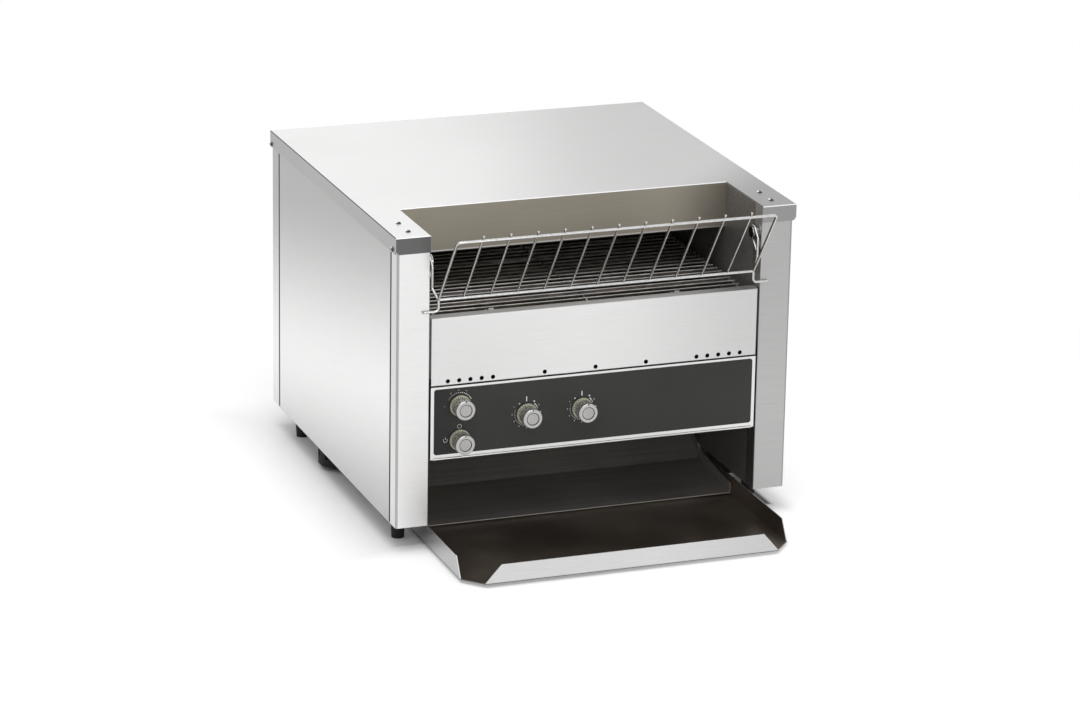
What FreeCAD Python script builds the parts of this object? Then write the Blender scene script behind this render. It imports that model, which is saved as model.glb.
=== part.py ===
"""Conveyor toaster: sheet steel body, wire belt, loading rack, control panel and toast tray.

The sketches, boxes and cylinders are written in a bench frame: X from the middle to the right,
Y from the front face of the posts to the back, Z up from the surface that the feet stand on.
Every finished piece is then moved along Y, so that the origin is at the middle of the footprint.
"""
import FreeCAD, Part
import math
import os
import re
import Sketcher
from FreeCAD import Placement, Rotation, Vector

SIZES = {
    # Housing
    "body_width": 464.7,
    "body_depth": 466.0,
    "body_height": 334.4,
    "foot_height": 30.0,
    "side_bay": 37.75,
    "steel": 1.2,
    "seam": 2.0,
    "edge_round": 1.1,
    "post_round": 3.0,
    "post_side": 20.5,
    "post_tab_depth": 30.0,
    "wall_flange": 27.0,
    "rear_post_depth": 25.0,
    "panel_return": 8.0,
    "cover_lap": 2.65,
    "cover_skirt": 19.0,
    "corner_clip": 3.0,
    "notch_depth": 105.0,
    "baffle_drop": 54.4,
    "baffle_hem_radius": 2.0,
    "baffle_flange": 14.0,
    # Clearances and cutters
    "air_gap": 0.3,
    "running_fit": 0.05,
    "overrun": 6.0,
    # Front panels
    "outlet_height": 75.8,
    "control_height": 83.8,
    "front_cover_height": 77.8,
    "panel_line": 1.4,
    "front_return": 14.0,
    "bezel_return": 18.0,
    "vent_radius": 2.5,
    "vent_rise": 4.7,
    "vent_pitch": 13.1,
    "vent_row_inset": 71.9,
    "vent_middle_pitch": 60.0,
    "fascia_side": 3.8,
    "fascia_rise": 5.5,
    "fascia_fall": 2.6,
    "fascia_thickness": 0.5,
    "fascia_corner": 3.0,
    "control_box_depth": 112.0,
    # Knobs and controls
    "speed_inset": 35.3,
    "speed_rise": 137.0,
    "mode_rise": 97.2,
    "top_heat_x": -81.0,
    "bottom_heat_x": -15.7,
    "heat_rise": 119.6,
    "knob_radius": 11.0,
    "knob_rim_radius": 12.0,
    "knob_rim_length": 2.6,
    "knob_length": 21.5,
    "knob_ring_width": 3.6,
    "knob_groove_width": 1.0,
    "knob_groove_depth": 1.2,
    "knob_lip_length": 3.0,
    "knob_flute_radius": 0.8,
    "knob_pointer_width": 1.4,
    "shaft_radius": 3.0,
    "shaft_seat": 9.0,
    "bush_radius": 4.5,
    "control_gap": 5.0,
    "pot_radius": 12.0,
    "pot_length": 11.0,
    "switch_side": 34.0,
    "switch_length": 38.0,
    "mode_switch_side": 26.0,
    "mode_switch_length": 30.0,
    "tab_width": 6.3,
    "tab_thickness": 0.8,
    "tab_length": 8.0,
    # Conveyor
    "belt_height": 236.0,
    "belt_side_gap": 10.6,
    "belt_pitch": 12.7,
    "belt_rod_radius": 1.1,
    "belt_link_width": 2.4,
    "drive_y": 35.0,
    "idler_inset": 93.0,
    "axle_radius": 5.0,
    "sprocket_width": 6.0,
    "sprocket_hub_radius": 9.0,
    "sprocket_hub_length": 14.0,
    "sprocket_notch": 3.2,
    "bushing_radius": 9.0,
    "bushing_flange_radius": 12.0,
    "bushing_flange": 2.4,
    "bushing_length": 7.0,
    # Drive
    "chain_pitch": 6.35,
    "chain_roller_radius": 1.65,
    "chain_roller_length": 3.2,
    "chain_plate": 0.8,
    "chain_plate_height": 5.0,
    "chain_inset": 19.35,
    "chain_disc": 2.6,
    "chain_hub_radius": 9.0,
    "chain_hub_length": 10.0,
    "motor_y": 75.0,
    "motor_rise": 120.0,
    "motor_shaft_radius": 4.0,
    "gearbox_side": 66.0,
    "gearbox_length": 28.0,
    "motor_radius": 28.0,
    "motor_length": 56.0,
    "motor_cap_radius": 14.0,
    "motor_cap_length": 6.0,
    "bracket_plate": 2.0,
    "bracket_margin": 4.0,
    # Heating
    "heater_radius": 4.0,
    "heater_margin": 256.0,
    "upper_heater_rise": 290.0,
    "upper_heater_start": 140.0,
    "lower_heater_rise": 222.0,
    "lower_heater_start": 86.0,
    "heater_stub": 18.0,
    "reflector_front": 109.0,
    "reflector_back_inset": 68.0,
    "reflector_skirt": 12.0,
    "upper_reflector_rise": 300.0,
    "lower_reflector_front": 62.0,
    "lower_reflector_inset": 120.0,
    "lower_reflector_rise": 207.0,
    "insulation_height": 30.0,
    "thermostat_radius": 8.0,
    "thermostat_length": 9.0,
    "thermostat_y": 250.0,
    "thermostat_rise": 306.0,
    # Toast outlet
    "tray_reach": 127.0,
    "tray_side_gap": 1.6,
    "tray_sheet": 1.0,
    "tray_lift": 4.0,
    "tray_wall": 23.0,
    "tray_wall_front_top": 90.0,
    "tray_wall_front_low": 105.0,
    "tray_clip": 20.6,
    "tray_lip": 22.5,
    "tray_lip_lean": 2.0,
    "tray_lip_clip": 40.0,
    "tray_tail": 150.0,
    "tray_flange": 7.0,
    "tray_flange_front": 66.0,
    "chute_clearance": 2.8,
    "rail_height": 5.5,
    "rail_lip": 5.0,
    "rail_flange": 10.0,
    "rail_front": 64.0,
    "rail_back": 172.0,
    "chute_side_gap": 3.6,
    "chute_side": 12.0,
    "chute_toe_y": 55.0,
    "chute_toe_lift": 7.2,
    "chute_knee_y": 150.0,
    "chute_knee_lift": 17.0,
    "chute_back_inset": 26.0,
    "chute_back_lift": 214.0,
    "chute_top_lift": 300.0,
    "chute_top_lean": 6.0,
    "chute_pin_radius": 4.0,
    "chute_top_pin_lift": 280.0,
    # Loading rack
    "rack_wire": 1.5,
    "rack_cross_wire": 1.3,
    "rack_side_gap": 9.1,
    "rack_low_rise": 260.5,
    "rack_top_rise": 342.0,
    "rack_low_reach": 1.8,
    "rack_top_reach": 62.0,
    "rack_bend": 4.5,
    "rack_wire_margin": 30.0,
    "rack_tip": 4.0,
    "rack_foot_rise": 247.5,
    "rack_foot_lap": 8.4,
    "rack_arm_gap": 3.1,
    "rack_arm_y": 2.5,
    "rack_arm_low_rise": 273.0,
    "rack_loop_half": 6.5,
    "stud_y": 15.0,
    "stud_rise": 301.0,
    "stud_length": 6.2,
    "stud_head": 1.1,
    "stud_head_radius": 6.6,
    # Base, fan and small pieces
    "foot_side_inset": 20.35,
    "foot_inset": 53.0,
    "foot_top_radius": 9.0,
    "foot_low_radius": 7.0,
    "foot_screw_radius": 2.5,
    "foot_recess": 5.0,
    "foot_recess_radius": 5.0,
    "fan_side_inset": 28.15,
    "fan_inset": 171.0,
    "fan_side": 40.0,
    "fan_height": 15.0,
    "fan_bore_radius": 18.4,
    "fan_blade_radius": 17.4,
    "fan_hub_radius": 8.0,
    "fan_pin_radius": 1.5,
    "fan_spoke": 3.0,
    "fan_blade": 1.4,
    "cowl_radius": 24.0,
    "cowl_drop": 25.0,
    "cowl_wall": 1.6,
    "cowl_round": 5.0,
    "cowl_slot": 4.0,
    "louvre_length": 62.0,
    "louvre_height": 4.0,
    "louvre_pitch": 12.0,
    "louvre_rise": 180.0,
    "louvre_x": 40.0,
    "cord_bushing_inset": 42.6,
    "cord_bushing_rise": 34.0,
    "cord_hole_radius": 9.0,
    "cord_bushing_radius": 14.0,
    "cord_bushing_lip": 1.2,
    "contactor_clearance": 7.75,
    "contactor_width": 46.0,
    "contactor_height": 58.0,
    "contactor_y": 150.0,
    "contactor_rise": 150.0,
    "terminal_depth": 20.0,
    "terminal_width": 60.0,
    "terminal_height": 22.0,
    "terminal_y": 60.0,
    "terminal_rise": 40.0,
    "screw_radius": 3.0,
    "screw_head": 2.0,
    "screw_shank_radius": 1.8,
    "screw_length": 6.0,
    "screw_recess_reach": 1.7,
    "screw_recess_width": 0.8,
    "screw_recess_depth": 0.9,
    "screw_inset": 18.65,
    "screw_front_y": 20.0,
    "screw_back_y": 53.0,
    "side_screw_inset": 9.2,
    "side_screw_fall": 15.0,
    "rear_screw_inset": 4.0,
}

# Counts and shares
BELT_TEETH = 11
KNOB_FLUTES = 24
RACK_CROSS_WIRES = 11
ROW_VENTS = 5
UPPER_HEATERS = 6
LOWER_HEATERS = 6
BELT_WIRE_SIDES = 8
PINION_TEETH = 12
DRIVEN_TEETH = 24
FAN_BLADES = 7
COWL_SLOTS = 10
LOUVRES = 9
BELT_LANE_SHARES = (-0.49, 0.0, 0.49)
CONTACTOR_GROOVE_SHARES = (0.25, 0.5, 0.75)
TERMINAL_WELL_SHARES = (0.2, 0.4, 0.6, 0.8)
SPROCKET_PLACE_SHARES = (-0.3, 0.3)
CHUTE_KNEE_SHARE = 1.21
CHUTE_CORNER_SHARE = 0.53
CHUTE_PIN_SHARE = 0.62

# Places that several pieces use, written in the sizes above
HALF_OUT = "(body_width / 2)"
HALF_IN = "(body_width / 2 - side_bay)"
OPENING = "(body_width - 2 * side_bay)"
BASE_TOP = "(foot_height + steel)"
TOP = "(foot_height + body_height)"
UNDER_COVER = "(foot_height + body_height - steel)"
POST_BACK = "(body_depth - steel)"
REAR_POST_Y = "(body_depth - steel - rear_post_depth)"
WALL_BACK = "(body_depth - steel - rear_post_depth - seam)"
PANEL_HALF = "(body_width / 2 - side_bay - seam)"
CONTROL_LOW = "(foot_height + outlet_height)"
CONTROL_TOP = "(foot_height + outlet_height + control_height)"
FRONT_COVER_LOW = "(foot_height + outlet_height + control_height + panel_line)"
BAFFLE_LOW = "(foot_height + body_height - baffle_drop)"
BELT_RADIUS = f"({BELT_TEETH} * belt_pitch / (2 * pi))"
AXLE_Z = f"(foot_height + belt_height - belt_rod_radius - {BELT_RADIUS})"
FRONT_Y = "((tray_reach + tray_lip_lean + tray_sheet - body_depth) / 2)"
SHAFT_END_Y = "(steel + control_gap + shaft_seat)"
COVER_HALF = "(body_width / 2 + cover_lap)"
SIDE_SCREW_Z = "(foot_height + body_height - side_screw_fall)"
REAR_SCREW_Y = "(body_depth - steel - rear_screw_inset)"
MOTOR_Z = "(foot_height + motor_rise)"
IDLER_Y = "(body_depth - idler_inset)"
HEATER_PITCH = f"((body_depth - heater_margin) / {UPPER_HEATERS - 1})"
REFLECTOR_BACK = "(body_depth - reflector_back_inset)"
LOWER_REFLECTOR_BACK = "(body_depth - lower_reflector_inset)"
FEET_Y = ("foot_inset", "(body_depth - foot_inset)")
FOOT_X = f"({HALF_OUT} - foot_side_inset)"
FAN_X = f"(fan_side_inset - {HALF_OUT})"
FAN_Y = "(body_depth - fan_inset)"
CHAIN_X = f"({HALF_OUT} - chain_inset)"
SCREW_X = f"({HALF_OUT} - screw_inset)"
CORD_X = f"(cord_bushing_inset - {PANEL_HALF})"
CONTACTOR_DEPTH = "(side_bay - contactor_clearance)"
BELT_WIDTH = f"({OPENING} - 2 * belt_side_gap)"
TRAY_HALF = f"({HALF_IN} - tray_side_gap)"
TRAY_CLIP_HALF = f"({TRAY_HALF} - tray_clip)"
TRAY_LIP_HALF = f"({TRAY_HALF} - tray_lip_clip)"
CHUTE_HALF = f"({HALF_IN} - chute_side_gap)"
CHUTE_BACK_Y = "(body_depth - chute_back_inset)"
CHUTE_RUN = f"({CHUTE_BACK_Y} - chute_knee_y)"
CHUTE_RISE = "(chute_back_lift - chute_knee_lift)"
BAY_BACK = (f"(chute_knee_y + ({BASE_TOP} + chute_clearance - chute_knee_lift)"
            f" * {CHUTE_RUN} / {CHUTE_RISE})")
RACK_HALF = f"({HALF_IN} - rack_side_gap)"
RACK_FOOT_HALF = f"({HALF_IN} + rack_foot_lap)"
RACK_ARM_HALF = f"({HALF_IN} - rack_arm_gap)"
RACK_PITCH = f"(({RACK_HALF} - rack_wire_margin) / {RACK_CROSS_WIRES // 2})"

doc = FreeCAD.newDocument("conveyor_toaster")
sheet = doc.addObject("Spreadsheet::Sheet", "dims")
for row, (alias, number) in enumerate(SIZES.items(), 1):
    sheet.set(f"A{row}", alias)
    sheet.set(f"B{row}", str(number))
    sheet.setAlias(f"B{row}", alias)
doc.recompute()
probe = doc.addObject("App::FeaturePython", "probe")
probe.addProperty("App::PropertyFloat", "Number")
finished = []


def bound(text):
    """Put the sheet's name before every size in an expression."""
    return re.sub(r"\b[a-z_][a-z_0-9]*\b(?!\s*\()", lambda m: m[0] if m[0] == "pi" else "dims." + m[0], text)


def bind(piece, prop, text):
    piece.setExpression(prop, bound(text))


def value(text):
    """The number that an expression in sizes has now."""
    probe.setExpression("Number", bound(text))
    probe.recompute()
    return probe.Number


def point(x, y, z):
    return Vector(value(x), value(y), value(z))


def finish(piece, name):
    """Name a finished piece and move it from the bench frame to the part's frame."""
    if piece.TypeId in ("Part::Box", "Part::Cylinder"):
        piece = group(piece)
    piece.Label = name
    bind(piece, "Placement.Base.y", FRONT_Y)
    finished.append(piece)
    return piece


def box(x, y, z):
    """A box between two places on each axis."""
    solid = doc.addObject("Part::Box", "box")
    for side, axis, (low, high) in (("Length", "x", x), ("Width", "y", y), ("Height", "z", z)):
        bind(solid, side, f"({high}) - ({low})")
        bind(solid, f"Placement.Base.{axis}", low)
    return solid


def mirrored(side, x):
    return x if side > 0 else f"-({x})"


def mirrored_span(side, low, high):
    """The same stretch of X on the right (side 1) or the left (side -1)."""
    if side > 0:
        return low, high
    return f"-({high})", f"-({low})"


TURNS = {"x": Rotation(Vector(0, 1, 0), 90), "y": Rotation(Vector(1, 0, 0), -90), "z": Rotation()}


def rod(axis, radius, length, x, y, z):
    """A cylinder that starts at a place and runs along +X, +Y or +Z."""
    solid = doc.addObject("Part::Cylinder", "rod")
    solid.Placement = Placement(Vector(), TURNS[axis])
    bind(solid, "Radius", radius)
    bind(solid, "Height", length)
    for name, place in (("x", x), ("y", y), ("z", z)):
        bind(solid, f"Placement.Base.{name}", place)
    return solid


def hole(axis, radius, x, y, z):
    """A cutter that passes both ways through a sheet at a place."""
    start = {"x": x, "y": y, "z": z}
    start[axis] = f"({start[axis]}) - overrun"
    return rod(axis, radius, "2 * overrun", **start)


def placed(piece, x, y, z):
    """Move a piece that was drawn round the origin, and let it be moved again as a whole."""
    for name, place in (("x", x), ("y", y), ("z", z)):
        bind(piece, f"Placement.Base.{name}", place)
    return group(piece)


def fuse(*pieces):
    whole = doc.addObject("Part::MultiFuse", "fuse")
    whole.Shapes = list(pieces)
    whole.Refine = True
    return whole


def cut(base, *tools):
    whole = doc.addObject("Part::Cut", "cut")
    whole.Base = base
    whole.Tool = tools[0] if len(tools) == 1 else fuse(*tools)
    return whole


def group(*pieces):
    whole = doc.addObject("Part::Compound", "group")
    whole.Links = list(pieces)
    return whole


def shaped(shape):
    """A piece whose form is worked out here, because no feature makes it."""
    piece = doc.addObject("Part::Feature", "shaped")
    piece.Shape = shape
    return piece


def sketch(body, plane, shift, *loops):
    """A sketch on an origin plane; each loop is a list of corners or (x, y, radius)."""
    drawing = body.newObject("Sketcher::SketchObject", "sketch")
    drawing.AttachmentSupport = [(next(f for f in body.Origin.OriginFeatures if f.Role == plane), "")]
    drawing.MapMode = "FlatFace"
    bind(drawing, "AttachmentOffset.Base.z", shift)

    def drive(kind, text, *where):
        index = drawing.addConstraint(Sketcher.Constraint(kind, *where))
        drawing.setExpression(f"Constraints[{index}]", bound(text))

    for loop in loops:
        if isinstance(loop, tuple):
            circle = drawing.addGeometry(Part.Circle(Vector(1, 1, 0), Vector(0, 0, 1), 1), False)
            drive("DistanceX", loop[0], -1, 1, circle, 3, 1.0)
            drive("DistanceY", loop[1], -1, 1, circle, 3, 1.0)
            drive("Radius", loop[2], circle, 1.0)
            continue
        count = len(loop)
        ring = [Vector(math.cos(2 * math.pi * k / count), math.sin(2 * math.pi * k / count), 0)
                for k in range(count)]
        lines = [drawing.addGeometry(Part.LineSegment(ring[k], ring[(k + 1) % count]), False)
                 for k in range(count)]
        for k in range(count):
            drawing.addConstraint(Sketcher.Constraint("Coincident", lines[k], 2, lines[(k + 1) % count], 1))
        for line, start, (x, y) in zip(lines, ring, loop):
            drive("DistanceX", x, -1, 1, line, 1, start.x)
            drive("DistanceY", y, -1, 1, line, 1, start.y)
    return drawing


def design():
    return doc.addObject("PartDesign::Body", "design")


def pad(body, profile, length, midplane=False):
    feature = body.newObject("PartDesign::Pad", "pad")
    feature.Profile = profile
    feature.Midplane = midplane
    bind(feature, "Length", length)
    profile.Visibility = False
    return feature


def pocket(body, profile, midplane=True):
    """A cut right through, both ways from its sketch, or only against the sketch's normal."""
    feature = body.newObject("PartDesign::Pocket", "pocket")
    feature.Profile = profile
    feature.Type = "ThroughAll"
    feature.Midplane = midplane
    return feature


def revolve(body, profile, axis):
    feature = body.newObject("PartDesign::Revolution", "revolution")
    feature.Profile = profile
    feature.ReferenceAxis = (profile, [axis])
    feature.Angle = 360
    return feature


def round_edges(body, kind, size, wanted):
    """Fillet or chamfer the edges of the body whose middle passes a test."""
    doc.recompute()
    base = body.Tip
    names = [f"Edge{k}" for k, edge in enumerate(base.Shape.Edges, 1)
             if wanted(edge.valueAt((edge.FirstParameter + edge.LastParameter) / 2), edge)]
    feature = body.newObject(f"PartDesign::{kind}", kind.lower())
    feature.Base = (base, names)
    bind(feature, "Radius" if kind == "Fillet" else "Size", size)
    return feature


def polar(body, feature, axis, count):
    pattern = body.newObject("PartDesign::PolarPattern", "ring")
    pattern.Originals = [feature]
    pattern.Axis = (next(f for f in body.Origin.OriginFeatures if f.Role == axis), [""])
    pattern.Angle = 360
    pattern.Occurrences = count
    body.Tip = pattern
    return pattern


def bent_wire(points, bends, radius):
    """A round wire along straight runs that are joined by arcs, one bend radius for each corner."""
    pieces = []
    last = points[0]
    for before, corner, after, bend in zip(points, points[1:], points[2:], bends):
        into = (corner - before).normalize()
        out = (after - corner).normalize()
        turn = into.getAngle(out)
        start = corner - into * bend * math.tan(turn / 2)
        if (start - last).Length > 1e-6 * bend:
            pieces.append(Part.makeCylinder(radius, (start - last).Length, last, into))
        hinge = into.cross(out).normalize()
        centre = start + hinge.cross(into) * bend
        disc = Part.Face(Part.Wire([Part.makeCircle(radius, start, into)]))
        pieces.append(disc.revolve(centre, hinge, math.degrees(turn)))
        last = corner + out * bend * math.tan(turn / 2)
    pieces.append(Part.makeCylinder(radius, (points[-1] - last).Length, last, points[-1] - last))
    return pieces[0].fuse(pieces[1:])


def is_along(edge, axis):
    """A straight edge that runs along one of the three axes."""
    ends = [vertex.Point for vertex in edge.Vertexes]
    return len(ends) == 2 and abs(getattr((ends[1] - ends[0]).normalize(), axis)) > 0.99


def is_vertical(edge):
    return is_along(edge, "z")


# Housing

def post(side, name):
    """Front corner post: a channel with closed ends, rounded front edges and a tab for a cover screw."""
    body = design()
    x_in, x_out = mirrored_span(side, HALF_IN, HALF_OUT)
    corners = [(x_in, "0"), (x_out, "0"), (x_out, "post_side"), (x_in, "post_side")]
    pad(body, sketch(body, "XY_Plane", "foot_height", corners), f"{UNDER_COVER} - foot_height")
    low, high = mirrored_span(side, f"{HALF_IN} + steel", f"{HALF_OUT} - steel")
    hollow = [(low, "steel"), (high, "steel"), (high, "post_side + overrun"), (low, "post_side + overrun")]
    inner = body.newObject("PartDesign::Pocket", "hollow")
    inner.Profile = sketch(body, "XY_Plane", f"{UNDER_COVER} - steel", hollow)
    bind(inner, "Length", f"{UNDER_COVER} - foot_height - 2 * steel")
    low, high = mirrored_span(side, f"{HALF_IN} + wall_flange / 3", f"{HALF_OUT} - panel_return - air_gap")
    tab = [(low, "post_side - steel"), (high, "post_side - steel"),
           (high, "post_tab_depth"), (low, "post_tab_depth")]
    pad(body, sketch(body, "XY_Plane", f"{UNDER_COVER} - steel", tab), "steel")
    front = value("steel") / 2
    behind = value("steel") * 2
    middle = value(f"{HALF_OUT} - side_bay / 2")
    round_edges(body, "Fillet", "edge_round",
                lambda at, edge: is_vertical(edge) and at.y < front and abs(at.x) < middle)
    round_edges(body, "Fillet", "post_round",
                lambda at, edge: is_vertical(edge) and at.y < front and abs(at.x) > middle)
    round_edges(body, "Fillet", "post_round - steel",
                lambda at, edge: is_vertical(edge) and front < at.y < behind and abs(at.x) > middle)
    screw = "screw_shank_radius + air_gap"
    top_hole = hole("z", screw, mirrored(side, SCREW_X), "screw_front_y", UNDER_COVER)
    side_hole = hole("x", screw, mirrored(side, HALF_OUT), "side_screw_inset", SIDE_SCREW_Z)
    return finish(cut(body, top_hole, side_hole), name)


def rear_post(side, name):
    shell = box(mirrored_span(side, HALF_IN, HALF_OUT), (REAR_POST_Y, POST_BACK),
                ("foot_height", UNDER_COVER))
    inner = box(mirrored_span(side, f"{HALF_IN} + steel", f"{HALF_OUT} - steel"),
                (f"{REAR_POST_Y} - overrun", f"{POST_BACK} - steel"), (BASE_TOP, f"{UNDER_COVER} - steel"))
    side_hole = rod("x", "screw_shank_radius + air_gap", "2 * steel + air_gap",
                    mirrored(side, HALF_OUT) + " - steel - air_gap / 2", REAR_SCREW_Y, SIDE_SCREW_Z)
    return finish(cut(shell, inner, side_hole), name)


def side_panel(side, name):
    """A flat pan with short returns on all four edges."""
    front = "(post_side + seam)"
    back = f"({REAR_POST_Y} - seam)"
    shell = box(mirrored_span(side, f"{HALF_OUT} - panel_return", HALF_OUT), (front, back),
                (BASE_TOP, UNDER_COVER))
    inner = box(mirrored_span(side, f"{HALF_OUT} - panel_return - overrun", f"{HALF_OUT} - steel"),
                (f"{front} + steel", f"{back} - steel"), (f"{BASE_TOP} + steel", f"{UNDER_COVER} - steel"))
    return finish(cut(shell, inner), name)


def base_pan():
    """Bottom sheet with a bay for the toast tray, an air intake and holes for the feet."""
    z = ("foot_height", BASE_TOP)
    plate = fuse(box((f"-{HALF_OUT}", HALF_OUT), ("post_side", REAR_POST_Y), z),
                 box((f"-{HALF_IN}", HALF_IN), (REAR_POST_Y, f"{POST_BACK} - steel"), z))
    bay = box((f"-{HALF_IN}", HALF_IN), ("post_side - overrun", BAY_BACK),
              ("foot_height - overrun", f"{BASE_TOP} + overrun"))
    intake = hole("z", "fan_bore_radius - cowl_wall", FAN_X, FAN_Y, BASE_TOP)
    holes = [hole("z", "foot_screw_radius + air_gap", x, y, BASE_TOP) for x, y in foot_places()]
    return finish(cut(plate, bay, intake, *holes), "base_pan")


def top_cover():
    """Lid with a skirt all round, cut back at the front over the belt."""
    body = design()
    half = COVER_HALF
    lid = [(f"-{half}", "-cover_lap"), (f"-{HALF_IN}", "-cover_lap"), (f"-{HALF_IN}", "notch_depth"),
           (HALF_IN, "notch_depth"), (HALF_IN, "-cover_lap"), (half, "-cover_lap"),
           (half, "body_depth"), (f"-{half}", "body_depth")]
    pad(body, sketch(body, "XY_Plane", f"{TOP} - cover_skirt", lid), "cover_skirt")
    side = f"({half} - steel)"
    front = "steel - cover_lap"
    edge_in = f"({HALF_IN} - overrun)"
    behind = "notch_depth + overrun"
    hollow = [(f"-{side}", front), (f"-{edge_in}", front), (f"-{edge_in}", behind), (edge_in, behind),
              (edge_in, front), (side, front), (side, POST_BACK), (f"-{side}", POST_BACK)]
    beyond = f"({HALF_IN} + overrun)"
    strip = [(f"-{beyond}", "notch_depth"), (beyond, "notch_depth"), (beyond, f"{behind} + overrun"),
             (f"-{beyond}", f"{behind} + overrun")]
    for outline in (hollow, strip):
        inner = body.newObject("PartDesign::Pocket", "hollow")
        inner.Profile = sketch(body, "XY_Plane", f"{TOP} - steel", outline)
        bind(inner, "Length", "cover_skirt")
    high = value(f"{TOP} - steel / 4")
    round_edges(body, "Fillet", "edge_round", lambda at, edge: at.z > high and not is_vertical(edge))
    cutters = []
    for side in (-1, 1):
        low = f"{TOP} - cover_skirt"
        cutters.append(box(mirrored_span(side, f"{half} - corner_clip", f"{half} + overrun"),
                           ("-cover_lap - overrun", "corner_clip - cover_lap"),
                           (f"{low} - overrun", f"{low} + corner_clip")))
        for y in ("screw_front_y", "screw_back_y"):
            cutters.append(hole("z", "screw_shank_radius + air_gap", mirrored(side, SCREW_X), y, TOP))
        for y in ("side_screw_inset", REAR_SCREW_Y):
            cutters.append(rod("x", "screw_shank_radius + air_gap", "2 * steel + air_gap",
                               mirrored(side, half) + " - steel - air_gap / 2", y, SIDE_SCREW_Z))
    return finish(cut(body, *cutters), "top_cover")


def rear_panel():
    """Back sheet with two columns of slots and the hole for the cord bushing."""
    plate = box((f"-{PANEL_HALF}", PANEL_HALF), (f"{POST_BACK} - steel", POST_BACK), (BASE_TOP, UNDER_COVER))
    slots = []
    for k in range(LOUVRES):
        low = f"foot_height + louvre_rise + {k} * louvre_pitch"
        for side in (-1, 1):
            x = mirrored_span(side, "louvre_x + seam", "louvre_x + seam + louvre_length")
            slots.append(box(x, (f"{POST_BACK} - steel - overrun", f"{POST_BACK} + overrun"),
                             (low, f"{low} + louvre_height")))
    cord = hole("y", "cord_bushing_radius - cord_bushing_lip", CORD_X, POST_BACK,
                "foot_height + cord_bushing_rise")
    return finish(cut(plate, cord, *slots), "rear_panel")


def chamber_wall(side, name):
    """Inner wall of the toasting chamber: open under the chute, with a flange under the cover."""
    body = design()
    over_chute = "chute_back_lift - chute_side"
    outline = [("post_side", BASE_TOP), (BAY_BACK, BASE_TOP), (f"{CHUTE_BACK_Y} - chute_side", over_chute),
               (WALL_BACK, over_chute), (WALL_BACK, UNDER_COVER), ("post_side", UNDER_COVER)]
    start = HALF_IN if side > 0 else f"-{HALF_IN} - steel"
    pad(body, sketch(body, "YZ_Plane", start, outline), "steel")
    low, high = mirrored_span(side, HALF_IN, f"{HALF_IN} + wall_flange")
    flange = [(low, "post_tab_depth + seam"), (high, "post_tab_depth + seam"),
              (high, "notch_depth"), (low, "notch_depth")]
    pad(body, sketch(body, "XY_Plane", f"{UNDER_COVER} - steel", flange), "steel")
    holes = [("drive_y", AXLE_Z, "bushing_radius"), (IDLER_Y, AXLE_Z, "bushing_radius")]
    holes += [(y, z, "heater_radius + air_gap") for y, z in heater_places()]
    if side > 0:
        holes.append(("motor_y", MOTOR_Z, "chain_hub_radius + air_gap"))
    pocket(body, sketch(body, "YZ_Plane", start, *holes))
    screw = hole("z", "screw_shank_radius + air_gap", mirrored(side, SCREW_X), "screw_back_y", UNDER_COVER)
    return finish(cut(body, screw), name)


def heater_places():
    """Y of each heater, with the name of its height."""
    places = []
    for start, rise, count in (("upper_heater_start", "upper_heater_rise", UPPER_HEATERS),
                               ("lower_heater_start", "lower_heater_rise", LOWER_HEATERS)):
        places += [(f"{start} + {k} * {HEATER_PITCH}", f"foot_height + {rise}") for k in range(count)]
    return places


def feed_baffle():
    """Wall behind the loading opening, with a hem at its lower edge and a flange under the cover."""
    sheet_y = ("notch_depth", "notch_depth + steel")
    x = (f"-{HALF_IN}", HALF_IN)
    wall = box(x, sheet_y, (f"{BAFFLE_LOW} + baffle_hem_radius", UNDER_COVER))
    flange = box(x, ("notch_depth", "notch_depth + baffle_flange"), (f"{UNDER_COVER} - steel", UNDER_COVER))
    hem = rod("x", "baffle_hem_radius", OPENING, f"-{HALF_IN}", "notch_depth + baffle_hem_radius",
              f"{BAFFLE_LOW} + baffle_hem_radius")
    return finish(fuse(wall, flange, hem), "feed_baffle")


def front_cover():
    """Plain cover over the front of the belt, with a row of air holes and an ear against each post."""
    body = design()
    low = FRONT_COVER_LOW
    high = f"({FRONT_COVER_LOW} + front_cover_height)"
    face = [(f"-{PANEL_HALF}", low), (PANEL_HALF, low), (PANEL_HALF, high), (f"-{PANEL_HALF}", high)]
    pad(body, sketch(body, "XZ_Plane", "-front_return", face), "front_return")
    half = f"({PANEL_HALF} - steel)"
    hollow = [(f"-{half}", f"{low} + steel"), (half, f"{low} + steel"),
              (half, f"{high} - steel"), (f"-{half}", f"{high} - steel")]
    inner = body.newObject("PartDesign::Pocket", "hollow")
    inner.Profile = sketch(body, "XZ_Plane", "-steel", hollow)
    bind(inner, "Length", "front_return")
    inner.Reversed = False
    places = [f"{sign}({PANEL_HALF} - vent_row_inset + {k} * vent_pitch)"
              for k in range(ROW_VENTS) for sign in ("", "-")]
    places += [f"{k} * vent_middle_pitch" for k in (-1, 0, 1)]
    vents = [(x, f"{low} + vent_rise", "vent_radius") for x in places]
    holes = body.newObject("PartDesign::Pocket", "vents")
    holes.Profile = sketch(body, "XZ_Plane", "overrun", *vents)
    bind(holes, "Length", "2 * overrun")
    front = value("steel") / 4
    shortest = value("front_return")
    round_edges(body, "Fillet", "edge_round",
                lambda at, edge: at.y < front and len(edge.Vertexes) == 2 and edge.Length > shortest)
    for side in (-1, 1):
        near, far = mirrored_span(side, half, HALF_IN)
        ear = [(near, f"{low} + steel"), (far, f"{low} + steel"),
               (far, f"{high} - steel"), (near, f"{high} - steel")]
        pad(body, sketch(body, "XZ_Plane", "-front_return", ear), "steel")
    return finish(body, "front_cover")


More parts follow.
